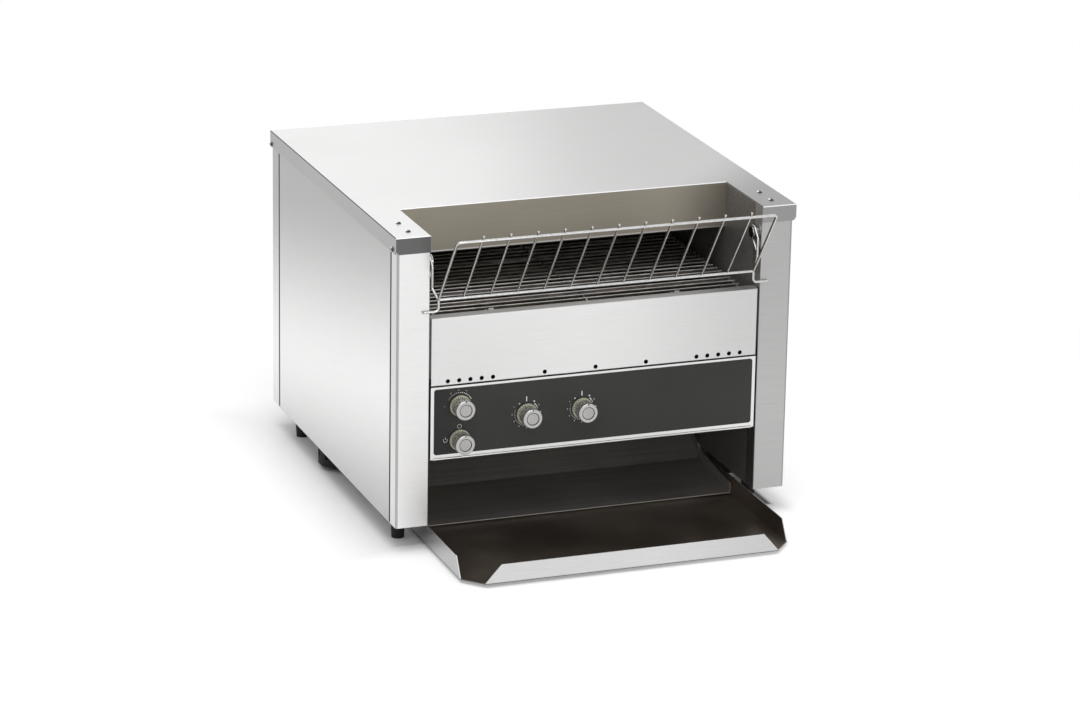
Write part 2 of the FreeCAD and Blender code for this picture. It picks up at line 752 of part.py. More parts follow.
def control_bezel():
    """Steel pan that frames the control panel, open at the back, with a shaft hole for each control."""
    x = (f"-{PANEL_HALF}", PANEL_HALF)
    pan = box(x, ("0", "bezel_return"), (CONTROL_LOW, CONTROL_TOP))
    hollow = box((f"-{PANEL_HALF} + steel", f"{PANEL_HALF} - steel"), ("steel", "bezel_return + overrun"),
                 (f"{CONTROL_LOW} + steel", f"{CONTROL_TOP} - steel"))
    holes = [hole("y", "bush_radius + air_gap", x_at, "0", f"foot_height + {rise}")
             for x_at, rise in control_places().values()]
    return finish(cut(pan, hollow, *holes), "control_bezel")


def fascia():
    """Black panel that carries the dial marks."""
    body = design()
    half = f"({PANEL_HALF} - fascia_side)"
    low = f"({CONTROL_LOW} + fascia_rise)"
    high = f"({CONTROL_TOP} - fascia_fall)"
    holes = [(x, f"foot_height + {rise}", "bush_radius + air_gap") for x, rise in control_places().values()]
    outline = [(f"-{half}", low), (half, low), (half, high), (f"-{half}", high)]
    pad(body, sketch(body, "XZ_Plane", "0", outline, *holes), "fascia_thickness")
    round_edges(body, "Fillet", "fascia_corner", lambda at, edge: is_along(edge, "y"))
    return finish(body, "fascia")


def control_box():
    """Five plates round the controls and the gearmotor, open towards the front panel."""
    front = "bezel_return + air_gap"
    back = "control_box_depth"
    low = f"{CONTROL_LOW} + air_gap"
    x = (f"-{HALF_IN}", HALF_IN)
    between = (f"{low} + steel", f"{CONTROL_TOP} - steel")
    plates = [box(x, (front, f"{back} + steel"), (low, f"{low} + steel")),
              box(x, (front, f"{back} + steel"), (f"{CONTROL_TOP} - steel", CONTROL_TOP)),
              box(x, (back, f"{back} + steel"), between)]
    for side in (-1, 1):
        end = box(mirrored_span(side, f"{HALF_IN} - steel", HALF_IN), (front, back), between)
        if side > 0:
            end = cut(end, hole("x", "chain_hub_radius + air_gap", HALF_IN, "motor_y", MOTOR_Z))
        plates.append(end)
    return finish(group(*plates), "control_box")


# Controls

def control_places():
    """X and height above the body's lower edge of each control's shaft."""
    left = f"(speed_inset - {HALF_IN})"
    return {"speed": (left, "speed_rise"), "mode": (left, "mode_rise"),
            "top_heat": ("top_heat_x", "heat_rise"), "bottom_heat": ("bottom_heat_x", "heat_rise")}


def knob(name, x, rise):
    """Fluted knob: a rim at the panel, a ring and a groove round a flat disc at the front."""
    body = design()
    back = "(fascia_thickness + air_gap)"
    seat = "(fascia_thickness + shaft_seat)"
    rim = f"({back} + knob_rim_length)"
    face = f"({back} + knob_length)"
    bore = "(shaft_radius + running_fit)"
    ring = "(knob_radius - knob_ring_width)"
    disc = f"({ring} - knob_groove_width)"
    bevel = "knob_groove_depth / 2"
    profile = [("0", seat), (bore, seat), (bore, back), ("knob_rim_radius", back), ("knob_rim_radius", rim),
               ("knob_radius", rim), ("knob_radius", f"{face} - {bevel}"), (f"knob_radius - {bevel}", face),
               (ring, face), (ring, f"{face} - knob_groove_depth"), (disc, f"{face} - knob_groove_depth"),
               (disc, f"{face} - {bevel}"), ("0", f"{face} - {bevel}")]
    revolve(body, sketch(body, "XZ_Plane", "0", profile), "V_Axis")
    flute = body.newObject("PartDesign::Pocket", "flute")
    deep = "knob_radius - knob_flute_radius"
    groove = [(deep, "0"), ("knob_radius + steel", "knob_flute_radius + steel"),
              ("knob_radius + steel", "-knob_flute_radius - steel")]
    flute.Profile = sketch(body, "XY_Plane", f"{face} - knob_lip_length", groove)
    bind(flute, "Length", "knob_length - knob_rim_length - knob_lip_length")
    polar(body, flute, "Z_Axis", KNOB_FLUTES)
    half = "knob_pointer_width / 2"
    inner = "knob_radius - knob_ring_width / 2"
    pointer = body.newObject("PartDesign::Pocket", "pointer")
    mark = [(f"-{half}", inner), (half, inner),
            (half, "knob_radius + overrun"), (f"-{half}", "knob_radius + overrun")]
    pointer.Profile = sketch(body, "XY_Plane", face, mark)
    bind(pointer, "Length", "knob_lip_length")
    body.Placement = Placement(Vector(), Rotation(Vector(1, 0, 0), 90))
    return finish(placed(body, x, "0", f"foot_height + {rise}"), f"{name}_knob")


def control_shaft(name, x, rise):
    start = "(fascia_thickness + shaft_seat - air_gap)"
    z = f"foot_height + {rise}"
    return finish(rod("y", "shaft_radius", f"{start} + {SHAFT_END_Y}", x, f"-{start}", z), f"{name}_shaft")


def bush_and_bore(x, z):
    """Threaded bush that holds a control to the panel, and the bore that its shaft turns in."""
    bush = rod("y", "bush_radius", "control_gap + steel + air_gap", x, "-air_gap", z)
    nut = rod("y", "bush_radius + steel", "steel", x, "steel", z)
    bore = rod("y", "shaft_radius + running_fit", f"{SHAFT_END_Y} + 2 * air_gap", x, "-air_gap", z)
    return fuse(bush, nut), bore


def tabs(x, y, z, span):
    """Two flat terminals behind a control."""
    return [box((f"{x} + {sign}{span} - tab_width / 2", f"{x} + {sign}{span} + tab_width / 2"),
                (y, f"{y} + tab_length"), (z, f"{z} + tab_thickness")) for sign in ("-", "")]


def speed_pot():
    """Round speed control with its terminals behind it."""
    x, rise = control_places()["speed"]
    z = f"foot_height + {rise}"
    bush, bore = bush_and_bore(x, z)
    can = rod("y", "pot_radius", "pot_length", x, "steel + control_gap", z)
    pins = tabs(x, "steel + control_gap + pot_length", z, "tab_width")
    return finish(cut(fuse(bush, can, *pins), bore), "speed_pot")


def switch(name, side, length, label):
    """Square rotary switch or regulator with its terminals behind it."""
    x, rise = control_places()[name]
    z = f"foot_height + {rise}"
    bush, bore = bush_and_bore(x, z)
    front = "steel + control_gap"
    case = box((f"{x} - {side} / 2", f"{x} + {side} / 2"), (front, f"{front} + {length}"),
               (f"{z} - {side} / 2", f"{z} + {side} / 2"))
    pins = tabs(x, f"{front} + {length}", z, "tab_width")
    return finish(cut(fuse(bush, case, *pins), bore), label)


# Conveyor

def bar_along_x(sides, radius, length, middle):
    """A bar with few flat sides, for a wire or roller that repeats many times."""
    start = middle - Vector(length / 2, 0, 0)
    turns = [2 * math.pi * (k + 0.5) / sides for k in range(sides + 1)]
    ring = [start + Vector(0, radius * math.cos(turn), radius * math.sin(turn)) for turn in turns]
    return Part.Face(Part.makePolygon(ring)).extrude(Vector(length, 0, 0))


def loop_station(s, run, radius):
    """Y and Z from the front axle, and the direction of travel, at a distance round a belt loop."""
    arc = math.pi * radius
    if s < run:
        return s, radius, 0.0
    if s < run + arc:
        turn = (s - run) / radius
        return run + radius * math.sin(turn), radius * math.cos(turn), -turn
    if s < 2 * run + arc:
        return 2 * run + arc - s, -radius, -math.pi
    turn = (s - 2 * run - arc) / radius
    return -radius * math.sin(turn), -radius * math.cos(turn), -math.pi - turn


def conveyor_belt():
    """Wire belt: cross rods, each joined to the next by short links in three lanes."""
    radius = value(BELT_RADIUS)
    run = value(f"{IDLER_Y} - drive_y")
    wire = value("belt_rod_radius")
    width = value(BELT_WIDTH)
    link = value("belt_link_width")
    gap = value("running_fit")
    around = 2 * run + 2 * math.pi * radius
    count = round(around / value("belt_pitch"))
    axle = point("0", "drive_y", AXLE_Z)
    places = []
    for k in range(count):
        y, z, _ = loop_station(k * around / count, run, radius)
        places.append(axle + Vector(0, y, z))
    strands = []
    for here, there in zip(places, places[1:] + places[:1]):
        cross_rod = bar_along_x(BELT_WIRE_SIDES, wire, width, here)
        chord = there - here
        angle = math.degrees(math.atan2(chord.z, chord.y))
        links = []
        for share in BELT_LANE_SHARES:
            bar = Part.makeBox(link, chord.Length - wire - gap, wire, Vector(-link / 2, 0, -wire / 2))
            bar.Placement = Placement(here + Vector(share * width, 0, 0), Rotation(Vector(1, 0, 0), angle))
            links.append(bar)
        strands.append(cross_rod.fuse(links))
    return finish(shaped(Part.makeCompound(strands)), "conveyor_belt")


def belt_sprocket():
    """Sprocket with a notch for each belt rod, its teeth just short of the rods."""
    body = design()
    tip = f"({BELT_RADIUS} - belt_rod_radius - air_gap)"
    pad(body, sketch(body, "YZ_Plane", "0", ("0", "0", tip)), "sprocket_width", midplane=True)
    hub = sketch(body, "YZ_Plane", "0", ("0", "0", "sprocket_hub_radius"))
    pad(body, hub, "sprocket_hub_length", midplane=True)
    seat = ("0", BELT_RADIUS, "sprocket_notch + belt_rod_radius")
    notch = pocket(body, sketch(body, "YZ_Plane", "0", seat))
    polar(body, notch, "X_Axis", BELT_TEETH)
    pocket(body, sketch(body, "YZ_Plane", "0", ("0", "0", "axle_radius")))
    return body


def sprocket_set(y, name):
    return finish(group(*[placed(belt_sprocket(), f"{share} * {BELT_WIDTH}", y, AXLE_Z)
                          for share in SPROCKET_PLACE_SHARES]), name)


def axle(y, right_end, name):
    left = f"({HALF_IN} + bushing_length)"
    return finish(rod("x", "axle_radius", f"{left} + {right_end}", f"-{left}", y, AXLE_Z), name)


def shaft_bushings():
    """Flanged bushing in each chamber wall, for both axles."""
    rings = []
    for y in ("drive_y", IDLER_Y):
        for side in (-1, 1):
            x, _ = mirrored_span(side, HALF_IN, f"{HALF_IN} + bushing_length - steel")
            flange_x, _ = mirrored_span(side, f"{HALF_IN} + steel", f"{HALF_IN} + steel + bushing_flange")
            sleeve = rod("x", "bushing_radius", "bushing_length - steel", x, y, AXLE_Z)
            flange = rod("x", "bushing_flange_radius", "bushing_flange", flange_x, y, AXLE_Z)
            bore = rod("x", "axle_radius + running_fit", "bushing_length", f"{x} - steel / 2", y, AXLE_Z)
            rings.append(cut(fuse(sleeve, flange), bore))
    return finish(group(*rings), "shaft_bushings")


# Drive

def chain_radius(teeth):
    return f"(chain_pitch / (2 * sin(180 / {teeth})))"


def chain_wheel(teeth, hub_radius):
    """Toothed wheel with a hub, its teeth just short of the chain's rollers."""
    body = design()
    tip = f"({chain_radius(teeth)} - chain_roller_radius - air_gap)"
    pad(body, sketch(body, "YZ_Plane", "0", ("0", "0", tip)), "chain_disc", midplane=True)
    notch = pocket(body, sketch(body, "YZ_Plane", "0", ("0", f"{tip} + air_gap", "chain_roller_radius")))
    polar(body, notch, "X_Axis", teeth)
    pad(body, sketch(body, "YZ_Plane", "0", ("0", "0", hub_radius)), "chain_hub_length", midplane=True)
    return body


def driven_sprocket():
    """Large chain wheel on the end of the drive axle."""
    wheel = chain_wheel(DRIVEN_TEETH, "chain_hub_radius")
    pocket(wheel, sketch(wheel, "YZ_Plane", "0", ("0", "0", "axle_radius")))
    return finish(placed(wheel, CHAIN_X, "drive_y", AXLE_Z), "driven_sprocket")


def motor_pinion():
    """Small chain wheel on the gearbox shaft."""
    wheel = placed(chain_wheel(PINION_TEETH, "chain_hub_radius - steel"), CHAIN_X, "motor_y", MOTOR_Z)
    shaft = rod("x", "motor_shaft_radius", f"{CHAIN_X} - {HALF_IN} + bracket_plate + gearbox_length / 2",
                f"{HALF_IN} - bracket_plate - gearbox_length / 2", "motor_y", MOTOR_Z)
    return finish(fuse(wheel, shaft), "motor_pinion")


def chain_stations():
    """Roller centres of a chain round both wheels, seen from the right."""
    big = point(CHAIN_X, "drive_y", AXLE_Z)
    small = point(CHAIN_X, "motor_y", MOTOR_Z)
    big_radius = value(chain_radius(DRIVEN_TEETH))
    small_radius = value(chain_radius(PINION_TEETH))
    line = small - big
    lean = math.atan2(line.z, line.y)
    splay = math.acos((big_radius - small_radius) / line.Length)
    straight = math.sqrt(line.Length ** 2 - (big_radius - small_radius) ** 2)
    small_arc = 2 * splay * small_radius
    around = 2 * straight + small_arc + 2 * (math.pi - splay) * big_radius
    count = 2 * round(around / value("chain_pitch") / 2)

    def on_wheel(centre, radius, angle):
        return centre + Vector(0, radius * math.cos(angle), radius * math.sin(angle))

    def station(s):
        if s < straight:
            leaving = on_wheel(big, big_radius, lean + splay)
            return leaving + (on_wheel(small, small_radius, lean + splay) - leaving) * (s / straight)
        s -= straight
        if s < small_arc:
            return on_wheel(small, small_radius, lean + splay - s / small_radius)
        s -= small_arc
        if s < straight:
            leaving = on_wheel(small, small_radius, lean - splay)
            return leaving + (on_wheel(big, big_radius, lean - splay) - leaving) * (s / straight)
        return on_wheel(big, big_radius, lean - splay - (s - straight) / big_radius)

    return [station(k * around / count) for k in range(count)]


def drive_chain():
    """Roller chain: rollers on a loop, with plates inside and outside in turn."""
    pins = chain_stations()
    roller = value("chain_roller_radius")
    gap = value("running_fit")
    half = value("chain_roller_length") / 2
    plate = value("chain_plate")
    height = value("chain_plate_height")
    solids = []
    for k, (here, there) in enumerate(zip(pins, pins[1:] + pins[:1])):
        solids.append(bar_along_x(BELT_WIRE_SIDES, roller, 2 * (half - gap), here))
        chord = there - here
        turn = Rotation(Vector(1, 0, 0), math.degrees(math.atan2(chord.z, chord.y)))
        low = half + (k % 2) * (plate + gap)
        for start in (low, -low - plate):
            corner = Vector(start, -height / 4, -height / 2)
            bar = Part.makeBox(plate, chord.Length + height / 2, height, corner)
            bar.Placement = Placement(here, turn)
            solids.append(bar)
    return finish(shaped(Part.makeCompound(solids)), "drive_chain")


def gearmotor():
    """Gearbox on the chamber wall with the motor behind it."""
    face = f"({HALF_IN} - steel - bracket_plate)"
    half = "gearbox_side / 2"
    case = box((f"{face} - gearbox_length", face), (f"motor_y - {half}", f"motor_y + {half}"),
               (f"{MOTOR_Z} - {half}", f"{MOTOR_Z} + {half}"))
    back = f"{face} - gearbox_length - motor_length"
    motor = rod("x", "motor_radius", "motor_length", back, "motor_y", MOTOR_Z)
    cap = rod("x", "motor_cap_radius", "motor_cap_length", f"{back} - motor_cap_length", "motor_y", MOTOR_Z)
    bore = rod("x", "motor_shaft_radius + running_fit", "gearbox_length",
               f"{face} - gearbox_length / 2 - 2 * air_gap", "motor_y", MOTOR_Z)
    return finish(cut(fuse(case, motor, cap), bore), "gearmotor")


def motor_bracket():
    """Plate that screws the gearbox to the chamber wall."""
    face = f"({HALF_IN} - steel)"
    half = "(gearbox_side / 2)"
    plate = box((f"{face} - bracket_plate", face), (f"motor_y - {half}", f"motor_y + {half}"),
                (f"{MOTOR_Z} - {half} - bracket_margin", f"{MOTOR_Z} + {half} + bracket_margin"))
    drive = hole("x", "chain_hub_radius + air_gap", face, "motor_y", MOTOR_Z)
    return finish(cut(plate, drive), "motor_bracket")


# Heating

def heaters(first, last, name):
    """Straight sheathed heating elements whose ends stand out through both chamber walls."""
    tubes = [rod("x", "heater_radius", f"{OPENING} + 2 * heater_stub", f"-{HALF_IN} - heater_stub", y, z)
             for y, z in heater_places()[first:last]]
    return finish(group(*tubes), name)


def upper_reflector():
    """Sheet above the upper heaters, with its front and back edges turned down."""
    z = "(foot_height + upper_reflector_rise)"
    tray = box((f"-{HALF_IN}", HALF_IN), ("reflector_front", REFLECTOR_BACK), (f"{z} - reflector_skirt", z))
    hollow = box((f"-{HALF_IN} - overrun", f"{HALF_IN} + overrun"),
                 ("reflector_front + steel", f"{REFLECTOR_BACK} - steel"),
                 (f"{z} - reflector_skirt - overrun", f"{z} - steel"))
    return finish(cut(tray, hollow), "upper_reflector")


def upper_insulation():
    z = "(foot_height + upper_reflector_rise)"
    return finish(box((f"-{HALF_IN}", HALF_IN), ("reflector_front + baffle_flange", REFLECTOR_BACK),
                      (z, f"{z} + insulation_height")), "upper_insulation")


def lower_reflector():
    """Sheet under the lower heaters, between the two runs of the belt."""
    z = "(foot_height + lower_reflector_rise)"
    tray = box((f"-{HALF_IN}", HALF_IN), ("lower_reflector_front", LOWER_REFLECTOR_BACK),
               (z, f"{z} + reflector_skirt"))
    hollow = box((f"-{HALF_IN} - overrun", f"{HALF_IN} + overrun"),
                 ("lower_reflector_front + steel", f"{LOWER_REFLECTOR_BACK} - steel"),
                 (f"{z} + steel", f"{z} + reflector_skirt + overrun"))
    return finish(cut(tray, hollow), "lower_reflector")


def thermostat():
    """Safety thermostat on the left chamber wall, with two terminals."""
    z = "foot_height + thermostat_rise"
    x = f"-{HALF_IN} - steel - thermostat_length"
    disc = rod("x", "thermostat_radius", "thermostat_length", x, "thermostat_y", z)
    pins = []
    for sign in ("-", "+"):
        y = f"thermostat_y {sign} tab_width / 2"
        pins.append(box((f"{x} - tab_length", x), (f"{y} - tab_thickness / 2", f"{y} + tab_thickness / 2"),
                        (f"{z} - tab_width / 2", f"{z} + tab_width / 2")))
    return finish(fuse(disc, *pins), "high_limit_thermostat")


# Toast outlet

def toast_tray():
    """Shallow tray that slides out at the front, with clipped corners and a turned-up lip."""
    body = design()
    low = "tray_lift"
    top = "(tray_lift + tray_wall)"
    floor = [(TRAY_HALF, "tray_tail"), (f"-{TRAY_HALF}", "tray_tail"),
             (f"-{TRAY_HALF}", "-tray_wall_front_low"), (f"-{TRAY_CLIP_HALF}", "-tray_reach"),
             (TRAY_CLIP_HALF, "-tray_reach"), (TRAY_HALF, "-tray_wall_front_low")]
    pad(body, sketch(body, "XY_Plane", low, floor), "tray_sheet")
    wall = [("-tray_wall_front_low", low), ("tray_tail", low),
            ("tray_tail", top), ("-tray_wall_front_top", top)]
    pad(body, sketch(body, "YZ_Plane", f"{TRAY_HALF} - tray_sheet", wall), "tray_sheet")
    pad(body, sketch(body, "YZ_Plane", f"-{TRAY_HALF}", wall), "tray_sheet")
    lip_top = "(tray_lift + tray_lip)"
    lip = [("-tray_reach - tray_sheet", low), ("-tray_reach", low), ("-tray_reach - tray_lip_lean", lip_top),
           ("-tray_reach - tray_lip_lean - tray_sheet", lip_top)]
    pad(body, sketch(body, "YZ_Plane", "0", lip), f"2 * {TRAY_CLIP_HALF}", midplane=True)
    for sign in ("", "-"):
        outside = f"{sign}({TRAY_CLIP_HALF} + overrun)"
        corner = [(f"{sign}{TRAY_CLIP_HALF}", f"{low} + tray_sheet"),
                  (f"{sign}{TRAY_LIP_HALF}", f"{lip_top} + tray_sheet"),
                  (outside, f"{lip_top} + tray_sheet"), (outside, f"{low} + tray_sheet")]
        trim = body.newObject("PartDesign::Pocket", "trim")
        trim.Profile = sketch(body, "XZ_Plane", "tray_reach + tray_lip_lean + tray_sheet + overrun", corner)
        bind(trim, "Length", "tray_lip_lean + tray_sheet + 2 * overrun")
    for side in (-1, 1):
        near, far = mirrored_span(side, f"{TRAY_HALF} - tray_sheet", f"{TRAY_HALF} + tray_flange")
        flange = [(near, "tray_flange_front"), (far, "tray_flange_front"),
                  (far, "tray_tail"), (near, "tray_tail")]
        pad(body, sketch(body, "XY_Plane", f"{top} - tray_sheet", flange), "tray_sheet")
    return finish(body, "toast_tray")


def tray_rails():
    """Pair of Z-shaped rails under the base that the tray's flanges slide in."""
    rails = []
    inside = f"({TRAY_HALF} + tray_flange - rail_lip)"
    web = f"({TRAY_HALF} + tray_flange + 2 * air_gap)"
    low = "foot_height - rail_height"
    y = ("rail_front", "rail_back")
    for side in (-1, 1):
        shelf = box(mirrored_span(side, inside, f"{web} + steel"), y, (low, f"{low} + steel"))
        upright = box(mirrored_span(side, web, f"{web} + steel"), y, (low, "foot_height"))
        flange = box(mirrored_span(side, web, f"{web} + rail_flange"), y,
                     ("foot_height - steel", "foot_height"))
        rails.append(fuse(shelf, upright, flange))
    return finish(group(*rails), "tray_rails")


def toast_chute():
    """Slide that turns the toast round behind the belt and leads it forward to the tray."""
    body = design()
    top_y = f"({CHUTE_BACK_Y} + chute_top_lean)"
    under = [("chute_toe_y", "chute_toe_lift"), ("chute_knee_y", "chute_knee_lift"),
             (CHUTE_BACK_Y, "chute_back_lift"), (top_y, "chute_top_lift")]
    face = [(f"{top_y} - tray_sheet", "chute_top_lift"),
            (f"{CHUTE_BACK_Y} - tray_sheet", f"chute_back_lift + {CHUTE_CORNER_SHARE} * tray_sheet"),
            ("chute_knee_y", f"chute_knee_lift + {CHUTE_KNEE_SHARE} * tray_sheet"),
            ("chute_toe_y", "chute_toe_lift + tray_sheet")]
    pad(body, sketch(body, "YZ_Plane", "0", under + face), f"2 * {CHUTE_HALF}", midplane=True)
    edge = [(f"{top_y} - chute_side", "chute_top_lift"),
            (f"{CHUTE_BACK_Y} - chute_side", "chute_back_lift + chute_side"),
            ("chute_knee_y", "chute_knee_lift + chute_side"), ("chute_toe_y", "chute_toe_lift + chute_side")]
    for side in (-1, 1):
        start, _ = mirrored_span(side, f"{CHUTE_HALF} - tray_sheet", CHUTE_HALF)
        pad(body, sketch(body, "YZ_Plane", start, under + edge), "tray_sheet")
    pins = []
    pin_y = f"chute_knee_y + {CHUTE_PIN_SHARE} * {CHUTE_RUN}"
    pin_z = f"chute_knee_lift + {CHUTE_PIN_SHARE} * {CHUTE_RISE} + chute_side / 2"
    for y, z in ((pin_y, pin_z), (f"{top_y} - chute_side / 2", "chute_top_pin_lift")):
        for side in (-1, 1):
            start, _ = mirrored_span(side, f"{CHUTE_HALF} - tray_sheet", HALF_IN)
            pins.append(rod("x", "chute_pin_radius", "chute_side_gap + tray_sheet", start, y, z))
    return finish(fuse(body, *pins), "toast_chute")


# Loading rack

def loading_rack():
    """Bread rack of bent wire: frame, cross wires, feet on the posts and loops over the studs."""
    wire = value("rack_wire")
    bend = value("rack_bend")
    half = RACK_HALF
    low = ("-rack_low_reach", "foot_height + rack_low_rise")
    top = ("-rack_top_reach", "foot_height + rack_top_rise")
    hoop = [point(f"-{half}", *low), point(f"-{half}", *top), point(half, *top), point(half, *low)]
    solids = [Part.makeCylinder(wire, 2 * value(half), hoop[0], Vector(1, 0, 0)),
              bent_wire(hoop, (bend, bend), wire)]
    up = (hoop[1] - hoop[0]).normalize()
    cross = value("rack_cross_wire")
    step_back = Vector(0, up.z, -up.y) * (wire + cross - value("running_fit"))
    tip = up * value("rack_tip")
    for k in range(RACK_CROSS_WIRES):
        x = f"{k - RACK_CROSS_WIRES // 2} * {RACK_PITCH}"
        start = point(x, *low) + step_back
        end = point(x, *top) + step_back + tip
        solids.append(Part.makeCylinder(cross, (end - start).Length, start, end - start))
    for sign in (-1, 1):
        solids.append(bent_wire(*rack_side(sign), wire))
    return finish(shaped(solids[0].fuse(solids[1:])), "loading_rack")


def rack_side(sign):
    """Corners and bends of the wire at one end: foot, leg, loop over the stud and back to the leg."""
    bend = value("rack_bend")
    loop = value("rack_loop_half")
    leg_y = value("rack_arm_y")
    stud = point(f"{sign} * {RACK_ARM_HALF}", "stud_y", "foot_height + stud_rise")
    down = Vector(0, -1, -1).normalize()
    front = Vector(0, -1, 1).normalize() * loop
    near = stud + front
    far = stud - front
    corners = [point(f"{sign} * {RACK_FOOT_HALF}", "-rack_low_reach", "foot_height + rack_foot_rise"),
               point(f"{sign} * {RACK_HALF}", "-rack_low_reach", "foot_height + rack_foot_rise"),
               point(f"{sign} * {RACK_HALF}", "-rack_low_reach", "foot_height + rack_low_rise"),
               point(f"{sign} * {RACK_ARM_HALF}", "rack_arm_y", "foot_height + rack_arm_low_rise"),
               near + down * ((leg_y - near.y) / down.y),
               near - down * loop,
               far - down * loop,
               far + down * ((leg_y + value("rack_wire") - far.y) / down.y)]
    return corners, (bend, bend, bend, bend, loop, loop)


def rack_studs():
    """Headed stud on each front post that the rack hangs on."""
    studs = []
    z = "foot_height + stud_rise"
    for side in (-1, 1):
        x, _ = mirrored_span(side, f"{HALF_IN} - stud_length", HALF_IN)
        head_x, _ = mirrored_span(side, f"{HALF_IN} - stud_length", f"{HALF_IN} - stud_length + stud_head")
        neck = rod("x", "rack_loop_half - rack_wire - running_fit", "stud_length", x, "stud_y", z)
        studs.append(fuse(neck, rod("x", "stud_head_radius", "stud_head", head_x, "stud_y", z)))
    return finish(group(*studs), "rack_studs")


# Base, fan and small pieces

def foot_places():
    return [(x, y) for x in (f"-{FOOT_X}", FOOT_X) for y in FEET_Y]


def feet():
    """Four tapered rubber feet with a recess for the screw head."""
    copies = []
    for x, y in foot_places():
        body = design()
        shank = "(foot_screw_radius + air_gap)"
        profile = [(shank, "foot_recess"), ("foot_recess_radius", "foot_recess"),
                   ("foot_recess_radius", "0"), ("foot_low_radius", "0"),
                   ("foot_top_radius", "foot_height"), (shank, "foot_height")]
        revolve(body, sketch(body, "XZ_Plane", "0", profile), "V_Axis")
        copies.append(placed(body, x, y, "0"))
    return finish(group(*copies), "feet")


def foot_screws():
    """Screw and nut that hold each foot to the base."""
    screws = []
    for x, y in foot_places():
        shank = rod("z", "foot_screw_radius", f"{BASE_TOP} + steel - foot_recess", x, y, "foot_recess")
        head = rod("z", "foot_recess_radius - air_gap", "screw_head", x, y, "foot_recess - screw_head")
        nut = rod("z", "foot_recess_radius - air_gap", "2 * steel", x, y, BASE_TOP)
        screws.append(fuse(shank, head, nut))
    return finish(group(*screws), "foot_screws")


def fan_frame():
    """Square fan housing on the base, with two spokes and a pin for the rotor."""
    half = "fan_side / 2"
    reach = "(fan_bore_radius + air_gap)"
    spoke = "fan_spoke / 2"
    low = (BASE_TOP, f"{BASE_TOP} + steel")
    frame = box((f"{FAN_X} - {half}", f"{FAN_X} + {half}"), (f"{FAN_Y} - {half}", f"{FAN_Y} + {half}"),
                (BASE_TOP, f"{BASE_TOP} + fan_height"))
    bore = rod("z", "fan_bore_radius", "fan_height + 2 * overrun", FAN_X, FAN_Y, f"{BASE_TOP} - overrun")
    spokes = [box((f"{FAN_X} - {across}", f"{FAN_X} + {across}"),
                  (f"{FAN_Y} - {along}", f"{FAN_Y} + {along}"), low)
              for across, along in ((reach, spoke), (spoke, reach))]
    plate = rod("z", "fan_hub_radius", "steel", FAN_X, FAN_Y, BASE_TOP)
    pin = rod("z", "fan_pin_radius", "fan_height - steel - air_gap", FAN_X, FAN_Y, BASE_TOP)
    return finish(fuse(cut(frame, bore), *spokes, plate, pin), "fan_frame")


def fan_rotor():
    """Hub with pitched blades, turning on the pin."""
    low = value(f"{BASE_TOP} + steel + air_gap * 2")
    high = value(f"{BASE_TOP} + fan_height - air_gap")
    centre = point(FAN_X, FAN_Y, "0")
    hub_radius = value("fan_hub_radius")
    hub = Part.makeCylinder(hub_radius, high - low, centre + Vector(0, 0, low))
    blade_reach = value("fan_blade_radius")
    thick = value("fan_blade")
    blades = []
    for k in range(FAN_BLADES):
        blade = Part.makeBox(blade_reach - hub_radius / 2, thick, (high - low) * 1.5,
                             Vector(hub_radius / 2, -thick / 2, -(high - low) * 0.75))
        blade.rotate(Vector(), Vector(1, 0, 0), 50)
        blade.rotate(Vector(), Vector(0, 0, 1), 360 * k / FAN_BLADES)
        blade.translate(centre + Vector(0, 0, (low + high) / 2))
        blades.append(blade)
    limit = Part.makeCylinder(blade_reach, high - low, centre + Vector(0, 0, low))
    bore = Part.makeCylinder(value("fan_pin_radius + running_fit"), high, centre)
    rotor = hub.fuse([blade.common(limit) for blade in blades]).cut(bore)
    return finish(shaped(rotor), "fan_rotor")


def fan_cowl():
    """Round black intake cap under the base, with slots round its side."""
    body = design()
    inner = "(cowl_radius - cowl_wall)"
    profile = [("0", "0"), ("cowl_radius", "0"), ("cowl_radius", "cowl_drop"), (inner, "cowl_drop"),
               (inner, "cowl_wall"), ("0", "cowl_wall")]
    revolve(body, sketch(body, "XZ_Plane", "0", profile), "V_Axis")
    flat = value("cowl_wall") / 2
    widest = value(inner)
    round_edges(body, "Chamfer", "cowl_wall",
                lambda at, edge: at.z < flat and math.hypot(at.x, at.y) > widest)
    slot = body.newObject("PartDesign::Pocket", "slot")
    half = "cowl_slot / 2"
    high = "cowl_drop - cowl_slot"
    opening = [(f"-{half}", "2 * cowl_round"), (half, "2 * cowl_round"), (half, high), (f"-{half}", high)]
    slot.Profile = sketch(body, "YZ_Plane", "cowl_radius + overrun", opening)
    bind(slot, "Length", "2 * overrun")
    polar(body, slot, "Z_Axis", COWL_SLOTS)
    return finish(placed(body, FAN_X, FAN_Y, "foot_height - cowl_drop"), "fan_cowl")


def cord_bushing():
    """Ring that lines the cord hole in the rear panel."""
    z = "foot_height + cord_bushing_rise"
    sleeve = rod("y", "cord_bushing_radius - cord_bushing_lip - running_fit", "2 * overrun", CORD_X,
                 f"{POST_BACK} - 2 * overrun", z)
    lip = rod("y", "cord_bushing_radius", "cord_bushing_lip", CORD_X, POST_BACK, z)
    bore = rod("y", "cord_hole_radius", "4 * overrun", CORD_X, f"{POST_BACK} - 3 * overrun", z)
    return finish(cut(fuse(sleeve, lip), bore), "cord_bushing")


